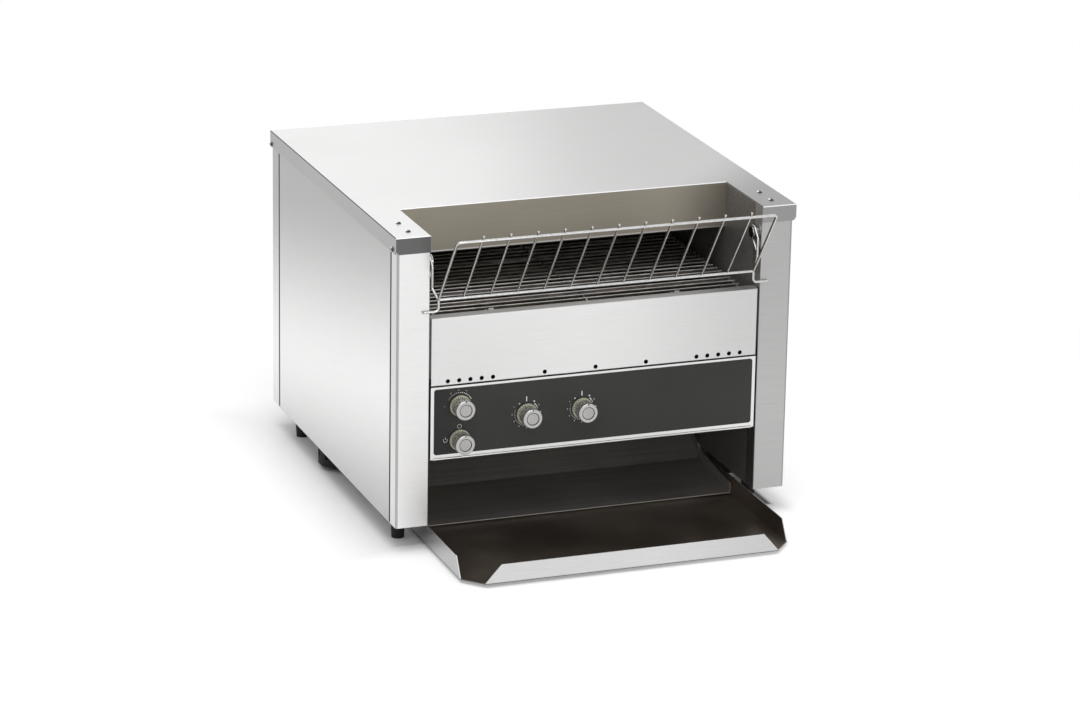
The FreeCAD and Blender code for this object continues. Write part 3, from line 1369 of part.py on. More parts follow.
def contactor():
    """Power relay on the outside of the left chamber wall, with a groove between its poles."""
    face = f"(-{HALF_IN} - steel)"
    z = "(foot_height + contactor_rise)"
    case = box((f"{face} - {CONTACTOR_DEPTH}", face), ("contactor_y", "contactor_y + contactor_width"),
               (z, f"{z} + contactor_height"))
    grooves = []
    for share in CONTACTOR_GROOVE_SHARES:
        y = f"contactor_y + contactor_width * {share}"
        outside = f"{face} - {CONTACTOR_DEPTH}"
        grooves.append(box((f"{outside} - overrun", f"{outside} + tab_width"),
                           (f"{y} - tab_thickness", f"{y} + tab_thickness"),
                           (f"{z} - overrun", f"{z} + contactor_height + overrun")))
    return finish(cut(case, *grooves), "contactor")


def terminal_block():
    """Block with a row of screw wells on the outside of the left chamber wall."""
    face = f"(-{HALF_IN} - steel)"
    z = "(foot_height + terminal_rise)"
    case = box((f"{face} - terminal_depth", face), ("terminal_y", "terminal_y + terminal_width"),
               (z, f"{z} + terminal_height"))
    wells = [rod("x", "screw_radius", "overrun", f"{face} - terminal_depth - overrun / 2",
                 f"terminal_y + terminal_width * {share}", f"{z} + terminal_height / 2")
             for share in TERMINAL_WELL_SHARES]
    return finish(cut(case, *wells), "terminal_block")


def cover_screw(place, direction):
    """Small screw whose low head has a cross recess."""
    head = value("screw_head")
    radius = value("screw_radius")
    rim = Part.makeCylinder(radius, head / 2, place, direction)
    crown = Part.makeCone(radius, radius / 2, head / 2, place + direction * (head / 2), direction)
    shank = Part.makeCylinder(value("screw_shank_radius"), value("screw_length"), place, direction * -1)
    reach = value("screw_recess_reach")
    width = value("screw_recess_width")
    floor = head - value("screw_recess_depth")
    bars = [Part.makeBox(long, wide, head, Vector(-long / 2, -wide / 2, floor))
            for long, wide in ((2 * reach, width), (width, 2 * reach))]
    recess = bars[0].fuse(bars[1])
    recess.Placement = Placement(place, Rotation(Vector(0, 0, 1), direction))
    return rim.fuse([crown, shank]).cut(recess)


def housing_screws():
    """Screws of the top cover: two on each shoulder and two along each side."""
    screws = []
    for side in (-1, 1):
        for y in ("screw_front_y", "screw_back_y"):
            screws.append(cover_screw(point(mirrored(side, SCREW_X), y, TOP), Vector(0, 0, 1)))
        for y in ("side_screw_inset", REAR_SCREW_Y):
            place = point(mirrored(side, COVER_HALF), y, SIDE_SCREW_Z)
            screws.append(cover_screw(place, Vector(side, 0, 0)))
    return finish(shaped(Part.makeCompound(screws)), "housing_screws")


def build():
    base_pan()
    for side, hand in ((-1, "left"), (1, "right")):
        post(side, f"{hand}_front_post")
        rear_post(side, f"{hand}_rear_post")
        side_panel(side, f"{hand}_side_panel")
        chamber_wall(side, f"{hand}_chamber_wall")
    rear_panel()
    top_cover()
    feed_baffle()
    front_cover()
    control_bezel()
    fascia()
    control_box()
    for name, (x, rise) in control_places().items():
        knob(name, x, rise)
        control_shaft(name, x, rise)
    speed_pot()
    switch("mode", "mode_switch_side", "mode_switch_length", "mode_switch")
    switch("top_heat", "switch_side", "switch_length", "top_heat_switch")
    switch("bottom_heat", "switch_side", "switch_length", "bottom_heat_switch")
    conveyor_belt()
    sprocket_set("drive_y", "drive_sprockets")
    sprocket_set(IDLER_Y, "idler_sprockets")
    axle("drive_y", f"{CHAIN_X} + chain_hub_length / 2", "drive_axle")
    axle(IDLER_Y, f"{HALF_IN} + bushing_length", "idler_axle")
    shaft_bushings()
    driven_sprocket()
    motor_pinion()
    drive_chain()
    gearmotor()
    motor_bracket()
    heaters(0, UPPER_HEATERS, "upper_heaters")
    heaters(UPPER_HEATERS, UPPER_HEATERS + LOWER_HEATERS, "lower_heaters")
    upper_reflector()
    upper_insulation()
    lower_reflector()
    thermostat()
    toast_tray()
    tray_rails()
    toast_chute()
    loading_rack()
    rack_studs()
    feet()
    foot_screws()
    fan_frame()
    fan_rotor()
    fan_cowl()
    cord_bushing()
    contactor()
    terminal_block()
    housing_screws()


def check_and_write():
    doc.recompute()
    for piece in doc.Objects:
        if "Invalid" in piece.State or "Error" in piece.State:
            raise RuntimeError(f"{piece.Label} ({piece.Name}) didn't compute: {piece.State}")
    os.makedirs("parts", exist_ok=True)
    for piece in finished:
        if piece.Shape.isNull() or not piece.Shape.isValid() or not piece.Shape.Solids:
            raise RuntimeError(f"{piece.Label} has no valid solid")
    for piece in finished:
        piece.Shape.exportStep(f"parts/{piece.Label}.step")
    print(len(finished), "pieces written")


build()
check_and_write()
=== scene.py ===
"""Looks of the conveyor toaster: finishes, printed dials, bezel lip and a plain studio."""

import math

import bmesh
import bpy
from mathutils import Matrix, Vector


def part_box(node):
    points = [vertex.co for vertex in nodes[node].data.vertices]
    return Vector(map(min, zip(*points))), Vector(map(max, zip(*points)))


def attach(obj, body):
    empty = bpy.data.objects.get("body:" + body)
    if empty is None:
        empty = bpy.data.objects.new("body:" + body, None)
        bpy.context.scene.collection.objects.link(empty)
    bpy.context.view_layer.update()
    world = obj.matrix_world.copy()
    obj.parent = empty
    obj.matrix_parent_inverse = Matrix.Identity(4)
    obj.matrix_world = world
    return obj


# Camera, fitted to the photograph: place in metres, angles in radians, lens on a 36 mm wide sensor
CAMERA_PLACE = Vector((-1.62775, -4.33939, 1.66635))
CAMERA_YAW = 0.35826
CAMERA_PITCH = -0.31604
CAMERA_ROLL = 0.01795
CAMERA_LENS = 141.77
SENSOR_WIDTH = 36.0

# Studio
AMBIENT = 0.55
WHITE = 1.0
FLOOR_RADIUS = 6.0
FLOOR_NEAR = 0.42
FLOOR_FAR = 0.95
FLOOR_SIDES = 64
FLOOR_LEVEL = 0.90
# Colour of the painted shadow on the floor under the right side
UNDER_LEVEL = 0.20

# Light added to the shaded floor, against the distance beyond the base pan's border in metres. The haste
# is how much faster it grows beyond the left, right, front and rear border.
CONTACT_LIFT = 0.11
CONTACT_IN = 0.012
CONTACT_OUT = 0.004
SHADOW_LIFT = 0.15
SHADOW_REACH = 0.11
SHADOW_HASTE = (1.0, 4.0, 2.5, 1.0)
RIGHT_LIFT = 1.45
RIGHT_START = -0.10

# Painted shadow: floor darkened under the right side, inside the border, in metres
UNDER_START = 0.008
UNDER_END = 0.020
UNDER_RIGHT = 0.15

# Printed marks on the fascia: metres from each shaft's axis, degrees clockwise from twelve o'clock
PRINT_THICKNESS = 0.00012
DIGIT_SIZE = 0.0026
DIGIT_RADIUS = 0.0168
DOT_STEP = 9
DOT_SIZE = 0.00035
DOT_SWEEP = 330.0
DOT_SIDES = 11

# Heat dials: bar as low, high and width; marks as radius, angle and size; wedge as radius, start, end and
# the widths at both
HEAT_NUMBERS = 9
HEAT_STEP = 30
HEAT_BAR = (0.0140, 0.0195, 0.0011)
HEAT_MARKS = ((0.0145, -35.0, 0.0008), (0.0160, 34.0, 0.0010))
HEAT_WEDGE = (0.0140, 69.0, 41.0, 0.0005, 0.0013)
HEAT_DOTS = 14
HEAT_DOT_START = -70.0
HEAT_DOT_RADIUS = 0.0138
HEAT_DOT_GROWTH = 0.00002

# Speed dial: arc as start, end and the widths at both
SPEED_DOTS = 12
SPEED_DOT_START = -60.0
SPEED_DOT_GROWTH = 0.00003
SPEED_RADIUS = 0.0145
SPEED_ARC = (46.0, 66.0, 0.0006, 0.0010)
SPEED_NUMBER_ANGLES = (-91.0, -36.0, -4.0, 26.0)
SPEED_DIGIT_RADIUS = 0.0176
SPEED_DIGIT_SIZE = DIGIT_SIZE * 0.9

# Mode dial: places to the right of the axis and above it, bar as low and high
OFF_PLACE = (0.0, 0.0152)
STANDBY_PLACE = (-0.0162, 0.0003)
STANDBY_GAP = 50.0
STANDBY_BAR = (0.0006, 0.0034)
SYMBOL_RADIUS = 0.0023
SYMBOL_LINE = 0.0004
SYMBOL_SIDES = 28

# Folded lip under the control bezel, and the dark strip over it that paints its shadow line, in metres
LIP_INSET = 0.0030
LIP_HEIGHT = 0.0019
LIP_DROP = 0.0007
LIP_DEPTH = 0.0009
LIP_STEPS = 8
SHADOW_STRIP_HEIGHT = 0.0006

# Seams between the posts and the side panels, and the width of the painted shadow along them, in metres
SEAM_WIDTH = 0.0020
SEAM_SHADE = 0.0017

# Knobs: radii in metres, and depths in metres behind the front face
KNOB_RADIUS = 0.0110
FLUTE_RISE = 0.0005
FLUTE_FALL = 0.0008
FLUTE_START = (0.0027, 0.0031)
KNOB_RIM_START = 0.0186
RING_RADIUS = 0.0074
DISC_RADIUS = 0.0064

# Spans of a noise's values: its middle, and nearly all of it
MIDDLE = (0.35, 0.65)
WIDE = (0.30, 0.70)

# Brushed steel: grain in features per metre, warmth, and how much brighter the painted highlight along its
# edges is
GRAIN_ACROSS = 2600.0
GRAIN_ALONG = 26.0
STEEL_WARMTH = 0.004
EDGE_HIGHLIGHT_GAIN = 1.22
EDGE_HIGHLIGHT_LIMIT = 0.90
EDGE_HIGHLIGHT_SHARE = 0.7
# Levels of the painted highlight on the cover's front fold and of the painted shade on its side folds
FOLD_HIGHLIGHT = 0.92
FOLD_SHADE = 0.07
# Level of the painted shadow in the seams
SEAM_SHADOW_LEVEL = 0.02
# Level of the painted shade on the walls of the air holes
VENT_SHADE_LEVEL = 0.01

# Share of a face's normal along an axis, from where it starts to count to where it counts in full
FACING_SIDE = (0.60, 0.90)
FACING_FOLD = (0.10, 0.35)
FACING_POST_FOLD = (0.10, 0.24)

# Toast tray, in metres
TRAY_HALF_WIDTH = 0.193
TRAY_SHEET = 0.001
TRAY_LIP = 0.003

# Heights in metres: skirt of the cover, air holes in the front cover, hem of the baffle
SKIRT_HEIGHT = 0.0190
VENT_HEIGHT = 0.0085
HEM_LOW = 0.0030
HEM_HIGH = 0.0038

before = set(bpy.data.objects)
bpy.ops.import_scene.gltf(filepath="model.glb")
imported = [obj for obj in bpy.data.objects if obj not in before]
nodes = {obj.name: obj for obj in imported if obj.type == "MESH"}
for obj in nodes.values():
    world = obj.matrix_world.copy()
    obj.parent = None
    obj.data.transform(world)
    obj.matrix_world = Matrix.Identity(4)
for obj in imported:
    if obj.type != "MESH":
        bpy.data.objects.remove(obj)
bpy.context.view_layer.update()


# Shader building

class Finish:
    """One procedural material: a Principled surface and the nodes that feed it, in object coordinates."""

    def __init__(self, name, **numbers):
        self.data = bpy.data.materials.new(name)
        self.data.use_nodes = True
        self.tree = self.data.node_tree
        self.surface = self.tree.nodes["Principled BSDF"]
        self.place = self.tree.nodes.new("ShaderNodeTexCoord").outputs["Object"]
        for socket, number in numbers.items():
            self.surface.inputs[socket.replace("_", " ")].default_value = number

    def add(self, kind, inputs, **settings):
        """Adds a node, sets its options, and links or sets its inputs by place."""
        made = self.tree.nodes.new(kind)
        for name, setting in settings.items():
            setattr(made, name, setting)
        for key, source in inputs.items():
            if isinstance(source, bpy.types.NodeSocket):
                self.tree.links.new(source, made.inputs[key])
            else:
                made.inputs[key].default_value = source
        return made

    def noise(self, scale, detail=2.0, rough=0.5, shift=(0.0, 0.0, 0.0)):
        """Noise whose scale differs along the three axes, in features per metre."""
        stretched = self.add("ShaderNodeMapping",
                             {"Vector": self.place, "Scale": scale, "Location": shift})
        made = self.add("ShaderNodeTexNoise",
                        {"Vector": stretched.outputs[0], "Scale": 1.0, "Detail": detail, "Roughness": rough})
        return made.outputs[0]

    def reach(self, source, low, high, start=0.0, end=1.0):
        """Maps low..high of a value to start..end, smoothly and held at both ends."""
        made = self.add("ShaderNodeMapRange",
                        {"Value": source, "From Min": low, "From Max": high, "To Min": start, "To Max": end},
                        interpolation_type="SMOOTHSTEP")
        return made.outputs[0]

    def math(self, kind, first, second=0.0):
        """Result of one sum on one or two values."""
        made = self.add("ShaderNodeMath", {0: first, 1: second}, operation=kind)
        return made.outputs[0]

    def mix(self, share, first, second, blend="MIX"):
        """Colour between first and second, or first blended with second in another way."""
        made = self.add("ShaderNodeMix", {0: share, 6: first, 7: second}, data_type="RGBA", blend_type=blend)
        return made.outputs[2]

    def axis(self, source, name):
        """One part, X, Y or Z, of a vector."""
        made = self.add("ShaderNodeSeparateXYZ", {0: source})
        return made.outputs[name]

    def edges(self, radius):
        """Share from 0 on flat faces to 1 along the piece's edges."""
        rounded = self.add("ShaderNodeBevel", {"Radius": radius}, samples=4)
        geometry = self.add("ShaderNodeNewGeometry", {})
        turned = self.add("ShaderNodeVectorMath", {0: rounded.outputs[0], 1: geometry.outputs["Normal"]},
                          operation="DOT_PRODUCT")
        return self.reach(turned.outputs["Value"], 0.995, 0.80)

    def normal(self):
        """Direction in which the surface faces, in the object's own axes."""
        geometry = self.add("ShaderNodeNewGeometry", {})
        turned = self.add("ShaderNodeVectorTransform", {0: geometry.outputs["Normal"]},
                          vector_type="NORMAL", convert_from="WORLD", convert_to="OBJECT")
        return turned.outputs[0]

    def facing(self, name):
        """How much the surface faces along an axis, either way, from 0 to 1."""
        return self.math("ABSOLUTE", self.axis(self.normal(), name))

    def bump(self, height, depth):
        """Roughens the surface by a height of at most a depth in metres."""
        made = self.add("ShaderNodeBump", {"Height": height, "Distance": depth, "Strength": 1.0})
        self.tree.links.new(made.outputs[0], self.surface.inputs["Normal"])

    def feed(self, socket, source):
        """Links a source to one of the surface's inputs."""
        self.tree.links.new(source, self.surface.inputs[socket])


def grey(level, warm=0.0):
    """Colour of one level, a little redder where warm is above 0 and bluer where it is below."""
    return (level * (1.0 + warm), level, level * (1.0 - warm), 1.0)


def faded(finish, color, direction, lowest, middle, highest, low_share, high_share):
    """Painted reflection: darkens a colour from a middle place along a direction towards the lowest and the
    highest.
    """
    reached = finish.add("ShaderNodeVectorMath", {0: finish.place, 1: direction}, operation="DOT_PRODUCT")
    under = finish.reach(reached.outputs["Value"], lowest, middle, low_share, 1.0)
    over = finish.reach(reached.outputs["Value"], middle, highest, 1.0, high_share)
    level = finish.math("MULTIPLY", under, over)
    dim = finish.add("ShaderNodeCombineXYZ", {axis: level for axis in "XYZ"})
    return finish.mix(1.0, color, dim.outputs[0], "MULTIPLY")


def skirted(finish, color, rim, sides, left, right):
    """Painted shade: gives upright faces above a height their own, darker levels: on the sides, and on the
    front's two ends.
    """
    raised = finish.reach(finish.axis(finish.place, "Z"), rim - 0.0004, rim)
    start, end = FACING_SIDE
    frontal = finish.reach(finish.axis(finish.normal(), "Y"), -start, -end)
    sideways = finish.reach(finish.facing("X"), start, end)
    across = finish.reach(finish.axis(finish.place, "X"), -0.05, 0.05)
    front = finish.mix(across, grey(left, STEEL_WARMTH), grey(right, STEEL_WARMTH))
    color = finish.mix(finish.math("MULTIPLY", frontal, raised), color, front)
    return finish.mix(finish.math("MULTIPLY", sideways, raised), color, grey(sides, STEEL_WARMTH))


def skirt_folds(finish, color):
    """Paints a highlight on the rounded fold over the front and paints shade on those over the sides."""
    upward = finish.axis(finish.normal(), "Z")
    front_fold = finish.math("MINIMUM", finish.facing("Y"), upward)
    side_fold = finish.math("MINIMUM", finish.facing("X"), upward)
    color = finish.mix(finish.reach(front_fold, *FACING_FOLD), color, grey(FOLD_HIGHLIGHT))
    return finish.mix(finish.reach(side_fold, *FACING_FOLD), color, grey(FOLD_SHADE, 0.05))


def brushed_steel(name, level, along, rough=0.36, contrast=0.04, skirt_shade=None, reflection_fade=None, seam_shadows=(), post_fold_shade=None,
                  vent_shade_height=None):
    """Sheet of brushed stainless steel with its grain along one axis.

    The skirt and fade arguments hold what the painted skirt shade and the painted reflection fade take after
    the colour. The seams are the ends that get a painted shadow in the seam: a place along Y and the way, -1
    or
    1, that the end faces. The fold is the level of the painted shade along the rounded upright folds. The
    vents is the height under which the walls of holes get painted shade. The edges get a painted highlight.
    """
    finish = Finish(name, Metallic=1.0, Anisotropic=0.5)
    fine = [GRAIN_ALONG if axis == along else GRAIN_ACROSS for axis in "xyz"]
    streak = finish.noise(fine, 2.0, 0.5)
    cloud = finish.noise((3.5, 3.5, 3.5), 2.0, 0.5, (0.7, 9.1, 2.2))
    share = finish.math("ADD", finish.math("MULTIPLY", finish.reach(streak, *WIDE), 0.75),
                        finish.math("MULTIPLY", finish.reach(cloud, *WIDE), 0.25))
    color = finish.mix(share, grey(level * (1.0 - contrast), STEEL_WARMTH),
                       grey(level * (1.0 + contrast), STEEL_WARMTH))
    # Painted reflection: the colour darkens along a direction, away from a middle place
    if reflection_fade:
        color = faded(finish, color, *reflection_fade)
    # Painted shade on the cover's skirt, with the front's left end darker than its right end
    if skirt_shade:
        color = skirted(finish, color, *skirt_shade)
    # Painted highlight along the edges
    edge_highlight = finish.edges(0.0006)
    color = finish.mix(finish.math("MULTIPLY", edge_highlight, EDGE_HIGHLIGHT_SHARE), color,
                       grey(min(level * EDGE_HIGHLIGHT_GAIN, EDGE_HIGHLIGHT_LIMIT), STEEL_WARMTH / 2))
    # Painted highlight on the cover's front fold and painted shade on its side folds
    if skirt_shade:
        color = skirt_folds(finish, color)
    # Painted shade along the rounded upright folds
    if post_fold_shade:
        turned = finish.math("MINIMUM", finish.facing("X"), finish.facing("Y"))
        color = finish.mix(finish.reach(turned, *FACING_POST_FOLD), color, grey(post_fold_shade, STEEL_WARMTH))
    # Painted shadow in the seam next to each given end
    for end, way in seam_shadows:
        inside = finish.math("SUBTRACT", finish.axis(finish.place, "Y"), end)
        inside = finish.math("MULTIPLY", inside, way)
        color = finish.mix(finish.reach(inside, -SEAM_SHADE, -SEAM_SHADE / 2), color, grey(SEAM_SHADOW_LEVEL))
    # Painted shade on the walls of the air holes
    if vent_shade_height:
        wall = finish.reach(finish.facing("Y"), 0.8, 0.5)
        low = finish.reach(finish.axis(finish.place, "Z"), vent_shade_height + 0.0005, vent_shade_height)
        color = finish.mix(finish.math("MULTIPLY", wall, low), color, grey(VENT_SHADE_LEVEL))
    finish.feed("Base Color", color)
    gloss = finish.math("ADD", finish.reach(cloud, *WIDE, rough - 0.02, rough + 0.02),
                        finish.math("MULTIPLY", streak, 0.04))
    finish.feed("Roughness", finish.math("SUBTRACT", gloss, finish.math("MULTIPLY", edge_highlight, 0.06)))
    level_face = finish.facing("Z")
    tangent = finish.add("ShaderNodeCombineXYZ",
                         {"X": 0.0, "Y": level_face, "Z": finish.math("SUBTRACT", 1.0, level_face)})
    finish.feed("Tangent", tangent.outputs[0])
    finish.bump(streak, 0.000001)
    return finish.data


def plain_metal(name, level, rough, warm=0.0, metallic=1.0, size=60.0, contrast=0.25, color=None):
    """Plated, cast or drawn metal with mild mottling and a painted highlight along its edges."""
    finish = Finish(name, Metallic=metallic)
    mottle = finish.noise((size, size, size), 5.0, 0.6)
    cloud = finish.noise((9.0, 9.0, 9.0), 2.0, 0.5, (4.0, 2.0, 7.0))
    share = finish.reach(finish.math("ADD", finish.math("MULTIPLY", mottle, 0.6),
                                     finish.math("MULTIPLY", cloud, 0.4)), *MIDDLE)
    low = grey(level * (1.0 - contrast), warm)
    high = grey(level * (1.0 + contrast * 0.5), warm)
    if color:
        low = tuple(channel * (1.0 - contrast) for channel in color[:3]) + (1.0,)
        high = tuple(min(channel * (1.0 + contrast * 0.5), 1.0) for channel in color[:3]) + (1.0,)
    # Painted highlight along the edges
    edge_highlight = finish.edges(0.0006)
    finish.feed("Base Color", finish.mix(finish.math("MULTIPLY", edge_highlight, 0.6), finish.mix(share, low, high),
                                         tuple(min(channel * 1.5, 1.0) for channel in high[:3]) + (1.0,)))
    finish.feed("Roughness", finish.reach(mottle, *WIDE, rough - 0.06, rough + 0.08))
    finish.bump(mottle, 0.00003)
    return finish.data


def moulded(name, color, rough, size=900.0, depth=0.00004, contrast=0.12, level=0.5):
    """Moulded plastic, rubber or board: fine grain in the surface and a slight painted highlight along the
    edges.
    """
    finish = Finish(name, Metallic=0.0)
    finish.surface.inputs["Specular IOR Level"].default_value = level
    grain = finish.noise((size, size, size), 4.0, 0.6)
    cloud = finish.noise((14.0, 14.0, 14.0), 3.0, 0.5, (2.0, 5.0, 1.0))
    low = tuple(channel * (1.0 - contrast) for channel in color) + (1.0,)
    high = tuple(min(channel * (1.0 + contrast), 1.0) for channel in color) + (1.0,)
    painted_edge_light = tuple(min(channel * 1.45 + 0.012, 1.0) for channel in color) + (1.0,)
    share = finish.reach(finish.math("ADD", finish.math("MULTIPLY", grain, 0.5),
                                     finish.math("MULTIPLY", cloud, 0.5)), *MIDDLE)
    # Painted highlight along the edges
    finish.feed("Base Color", finish.mix(finish.math("MULTIPLY", finish.edges(0.0007), 0.5),
                                         finish.mix(share, low, high), painted_edge_light))
    finish.feed("Roughness", finish.reach(grain, *WIDE, rough - 0.07, rough + 0.07))
    finish.bump(grain, depth)
    return finish.data


def chamber_steel(name, low, high, painted_edge_light=0.35):
    """Steel of the toasting chamber, darkened by heat and browned in soft stains, with a painted highlight
    along its edges.
    """
    finish = Finish(name, Metallic=0.75)
    streak = finish.noise((6.0, 420.0, 420.0), 3.0, 0.6)
    stain = finish.noise((14.0, 14.0, 14.0), 5.0, 0.65, (1.0, 4.0, 2.0))
    dark = finish.mix(finish.reach(streak, *MIDDLE), grey(low, 0.05), grey(high, 0.04))
    brown = finish.mix(finish.reach(stain, 0.50, 0.74), dark, (high * 1.02, high * 0.90, high * 0.78, 1.0))
    # Painted highlight along the edges
    finish.feed("Base Color", finish.mix(finish.math("MULTIPLY", finish.edges(0.0009), painted_edge_light), brown,
                                         grey(high * 1.5, 0.02)))
    finish.feed("Roughness", finish.reach(stain, *WIDE, 0.42, 0.56))
    finish.bump(streak, 0.000008)
    return finish.data


def baffle_steel(low, high):
    """Warm grey heat-tinted plate behind the loading opening: painted light makes it paler at its right; it
    has a bright hem.
    """
    finish = Finish("baffle_steel", Metallic=1.0)
    streak = finish.noise((10.0, 900.0, 900.0), 3.0, 0.6)
    cloud = finish.noise((4.0, 4.0, 9.0), 2.0, 0.5, (6.0, 1.0, 3.0))
    share = finish.math("ADD", finish.math("MULTIPLY", streak, 0.30),
                        finish.math("MULTIPLY", cloud, 0.70))
    share = finish.reach(share, 0.36, 0.64)
    dark = (0.250, 0.228, 0.186, 1.0)
    light = (0.282, 0.258, 0.212, 1.0)
    painted_light_pale = (0.350, 0.320, 0.268, 1.0)
    # Painted light: paler towards the right
    right = finish.reach(finish.axis(finish.place, "X"), 0.05, 0.17)
    face = finish.mix(right, finish.mix(share, dark, light), painted_light_pale)
    height = finish.axis(finish.place, "Z")
    hem = finish.mix(finish.reach(height, low - 0.0016, low - 0.0010), grey(0.10, 0.05), grey(0.50, 0.03))
    finish.feed("Base Color", finish.mix(finish.reach(height, high, low), face, hem))
    finish.feed("Roughness", finish.reach(cloud, *WIDE, 0.34, 0.44))
    finish.bump(streak, 0.000004)
    return finish.data


def heater_sheath():
    """Heater rods: matt dark oxide with a faint violet tint in places."""
    finish = Finish("heater_sheath", Metallic=1.0)
    scale = finish.noise((160.0, 160.0, 160.0), 5.0, 0.7)
    cloud = finish.noise((12.0, 12.0, 12.0), 2.0)
    black = (0.045, 0.040, 0.038, 1.0)
    brown = (0.13, 0.10, 0.085, 1.0)
    violet = (0.16, 0.12, 0.14, 1.0)
    oxide = finish.mix(finish.reach(scale, 0.35, 0.68), black, brown)
    finish.feed("Base Color", finish.mix(finish.reach(cloud, 0.5, 0.8), oxide, violet))
    finish.feed("Roughness", finish.reach(scale, *WIDE, 0.45, 0.65))
    finish.bump(scale, 0.00006)
    return finish.data


def heat_tinted(name, level):
    """Reflector sheet with straw, brown and blue heat colours in soft bands."""
    finish = Finish(name, Metallic=1.0)
    streak = finish.noise((6.0, 450.0, 450.0), 3.0, 0.6)
    band = finish.noise((3.0, 14.0, 8.0), 3.0, 0.5, (2.0, 8.0, 1.0))
    steel = finish.mix(finish.reach(streak, *MIDDLE), grey(level * 0.85), grey(level))
    straw = (level * 0.92, level * 0.74, level * 0.46, 1.0)
    blue = (level * 0.42, level * 0.46, level * 0.62, 1.0)
    color = finish.mix(finish.reach(band, 0.42, 0.60), steel, straw)
    finish.feed("Base Color", finish.mix(finish.reach(band, 0.60, 0.74), color, blue))
    finish.feed("Roughness", finish.reach(band, *WIDE, 0.24, 0.40))
    finish.bump(streak, 0.000015)
    return finish.data


def tray_steel(floor_rise, half_width, front):
    """Toast tray: light brushed steel outside with painted shade and highlights; darker, browner and rougher
    on the floor and the inner walls.
    """
    finish = Finish("tray_steel", Metallic=1.0)
    streak = finish.noise((GRAIN_ALONG, GRAIN_ACROSS, GRAIN_ACROSS), 2.0, 0.5)
    cloud = finish.noise((6.0, 6.0, 6.0), 3.0, 0.5, (5.0, 3.0, 8.0))
    crumbs = finish.noise((130.0, 130.0, 130.0), 5.0, 0.65, (3.0, 3.0, 3.0))
    bright = finish.mix(finish.reach(streak, *WIDE), grey(0.60), grey(0.66))
    brown = (0.20, 0.165, 0.135, 1.0)
    straw = (0.30, 0.255, 0.215, 1.0)
    crumb = (0.30, 0.22, 0.15, 1.0)
    dull = finish.mix(finish.reach(cloud, *MIDDLE), brown, straw)
    dull = finish.mix(finish.reach(crumbs, 0.60, 0.72), dull, crumb)
    x = finish.axis(finish.place, "X")
    y = finish.axis(finish.place, "Y")
    z = finish.axis(finish.place, "Z")
    # Painted shade, darker towards the right
    bright = finish.mix(finish.reach(x, 0.0, half_width), bright, grey(0.52))
    facing = finish.normal()
    upward = finish.reach(finish.axis(facing, "Z"), 0.75, 0.95)
    low = finish.reach(z, floor_rise + 0.0016, floor_rise + 0.0009)
    floor = finish.math("MULTIPLY", upward, low)
    outward = finish.math("MULTIPLY", finish.axis(facing, "X"), finish.math("SIGN", x))
    inward = finish.math("MULTIPLY", outward, -1.0)
    wall = finish.math("MULTIPLY", finish.reach(inward, 0.8, 0.95),
                       finish.reach(finish.math("ABSOLUTE", x), half_width - 0.003, half_width - 0.002))
    behind = finish.reach(y, front - 0.0006, front + 0.0002)
    inside = finish.math("MULTIPLY", finish.math("MAXIMUM", floor, wall), behind)
    outward = finish.reach(outward, 0.80, 0.95)
    edge_highlight = finish.edges(0.0009)
    # Painted shade on the walls that face outward, and a painted highlight along the edges
    outer = finish.mix(edge_highlight, finish.mix(outward, bright, grey(0.46)), grey(0.88))
    # Painted shade along the bottom, under the floor's height
    outer = finish.mix(finish.reach(z, floor_rise + 0.0003, floor_rise - 0.0002), outer, grey(0.16))
    finish.feed("Base Color", finish.mix(inside, outer, dull))
    shine = finish.reach(cloud, *WIDE, 0.24, 0.34)
    finish.feed("Roughness", finish.math("ADD", shine, finish.math("MULTIPLY", inside, 0.14)))
    finish.bump(streak, 0.000002)
    return finish.data


def belt_wire():
    """Wire belt: drawn steel gone dark in the heat, unevenly."""
    finish = Finish("belt_wire", Metallic=1.0)
    soot = finish.noise((55.0, 55.0, 55.0), 4.0, 0.6)
    fine = finish.noise((500.0, 500.0, 500.0), 3.0)
    dark = (0.30, 0.29, 0.275, 1.0)
    light = (0.46, 0.45, 0.43, 1.0)
    finish.feed("Base Color", finish.mix(finish.reach(soot, 0.40, 0.68), dark, light))
    finish.feed("Roughness", finish.reach(fine, *WIDE, 0.30, 0.45))
    finish.bump(fine, 0.00003)
    return finish.data


def rack_chrome(level, rough):
    """Bright chromium plate on drawn wire, with brown painted shade on the sides that face neither the front
    nor up.
    """
    finish = Finish("rack_chrome", Metallic=1.0)
    speck = finish.noise((240.0, 240.0, 240.0), 4.0, 0.6)
    cloud = finish.noise((18.0, 18.0, 18.0), 2.0)
    bright = finish.mix(finish.reach(speck, *MIDDLE), grey(level * 0.90), grey(level * 1.06))
    facing = finish.normal()
    # Painted shade: dark brown on the sides that face neither the front nor up
    painted_shade_sides = finish.math("MULTIPLY", finish.reach(finish.axis(facing, "Y"), -0.85, -0.30),
                         finish.reach(finish.axis(facing, "Z"), 0.90, 0.60))
    painted_brown_shade = (0.12, 0.108, 0.092, 1.0)
    finish.feed("Base Color", finish.mix(painted_shade_sides, bright, painted_brown_shade))
    finish.feed("Roughness", finish.reach(cloud, *WIDE, rough, rough + 0.09))
    finish.bump(speck, 0.00001)
    return finish.data


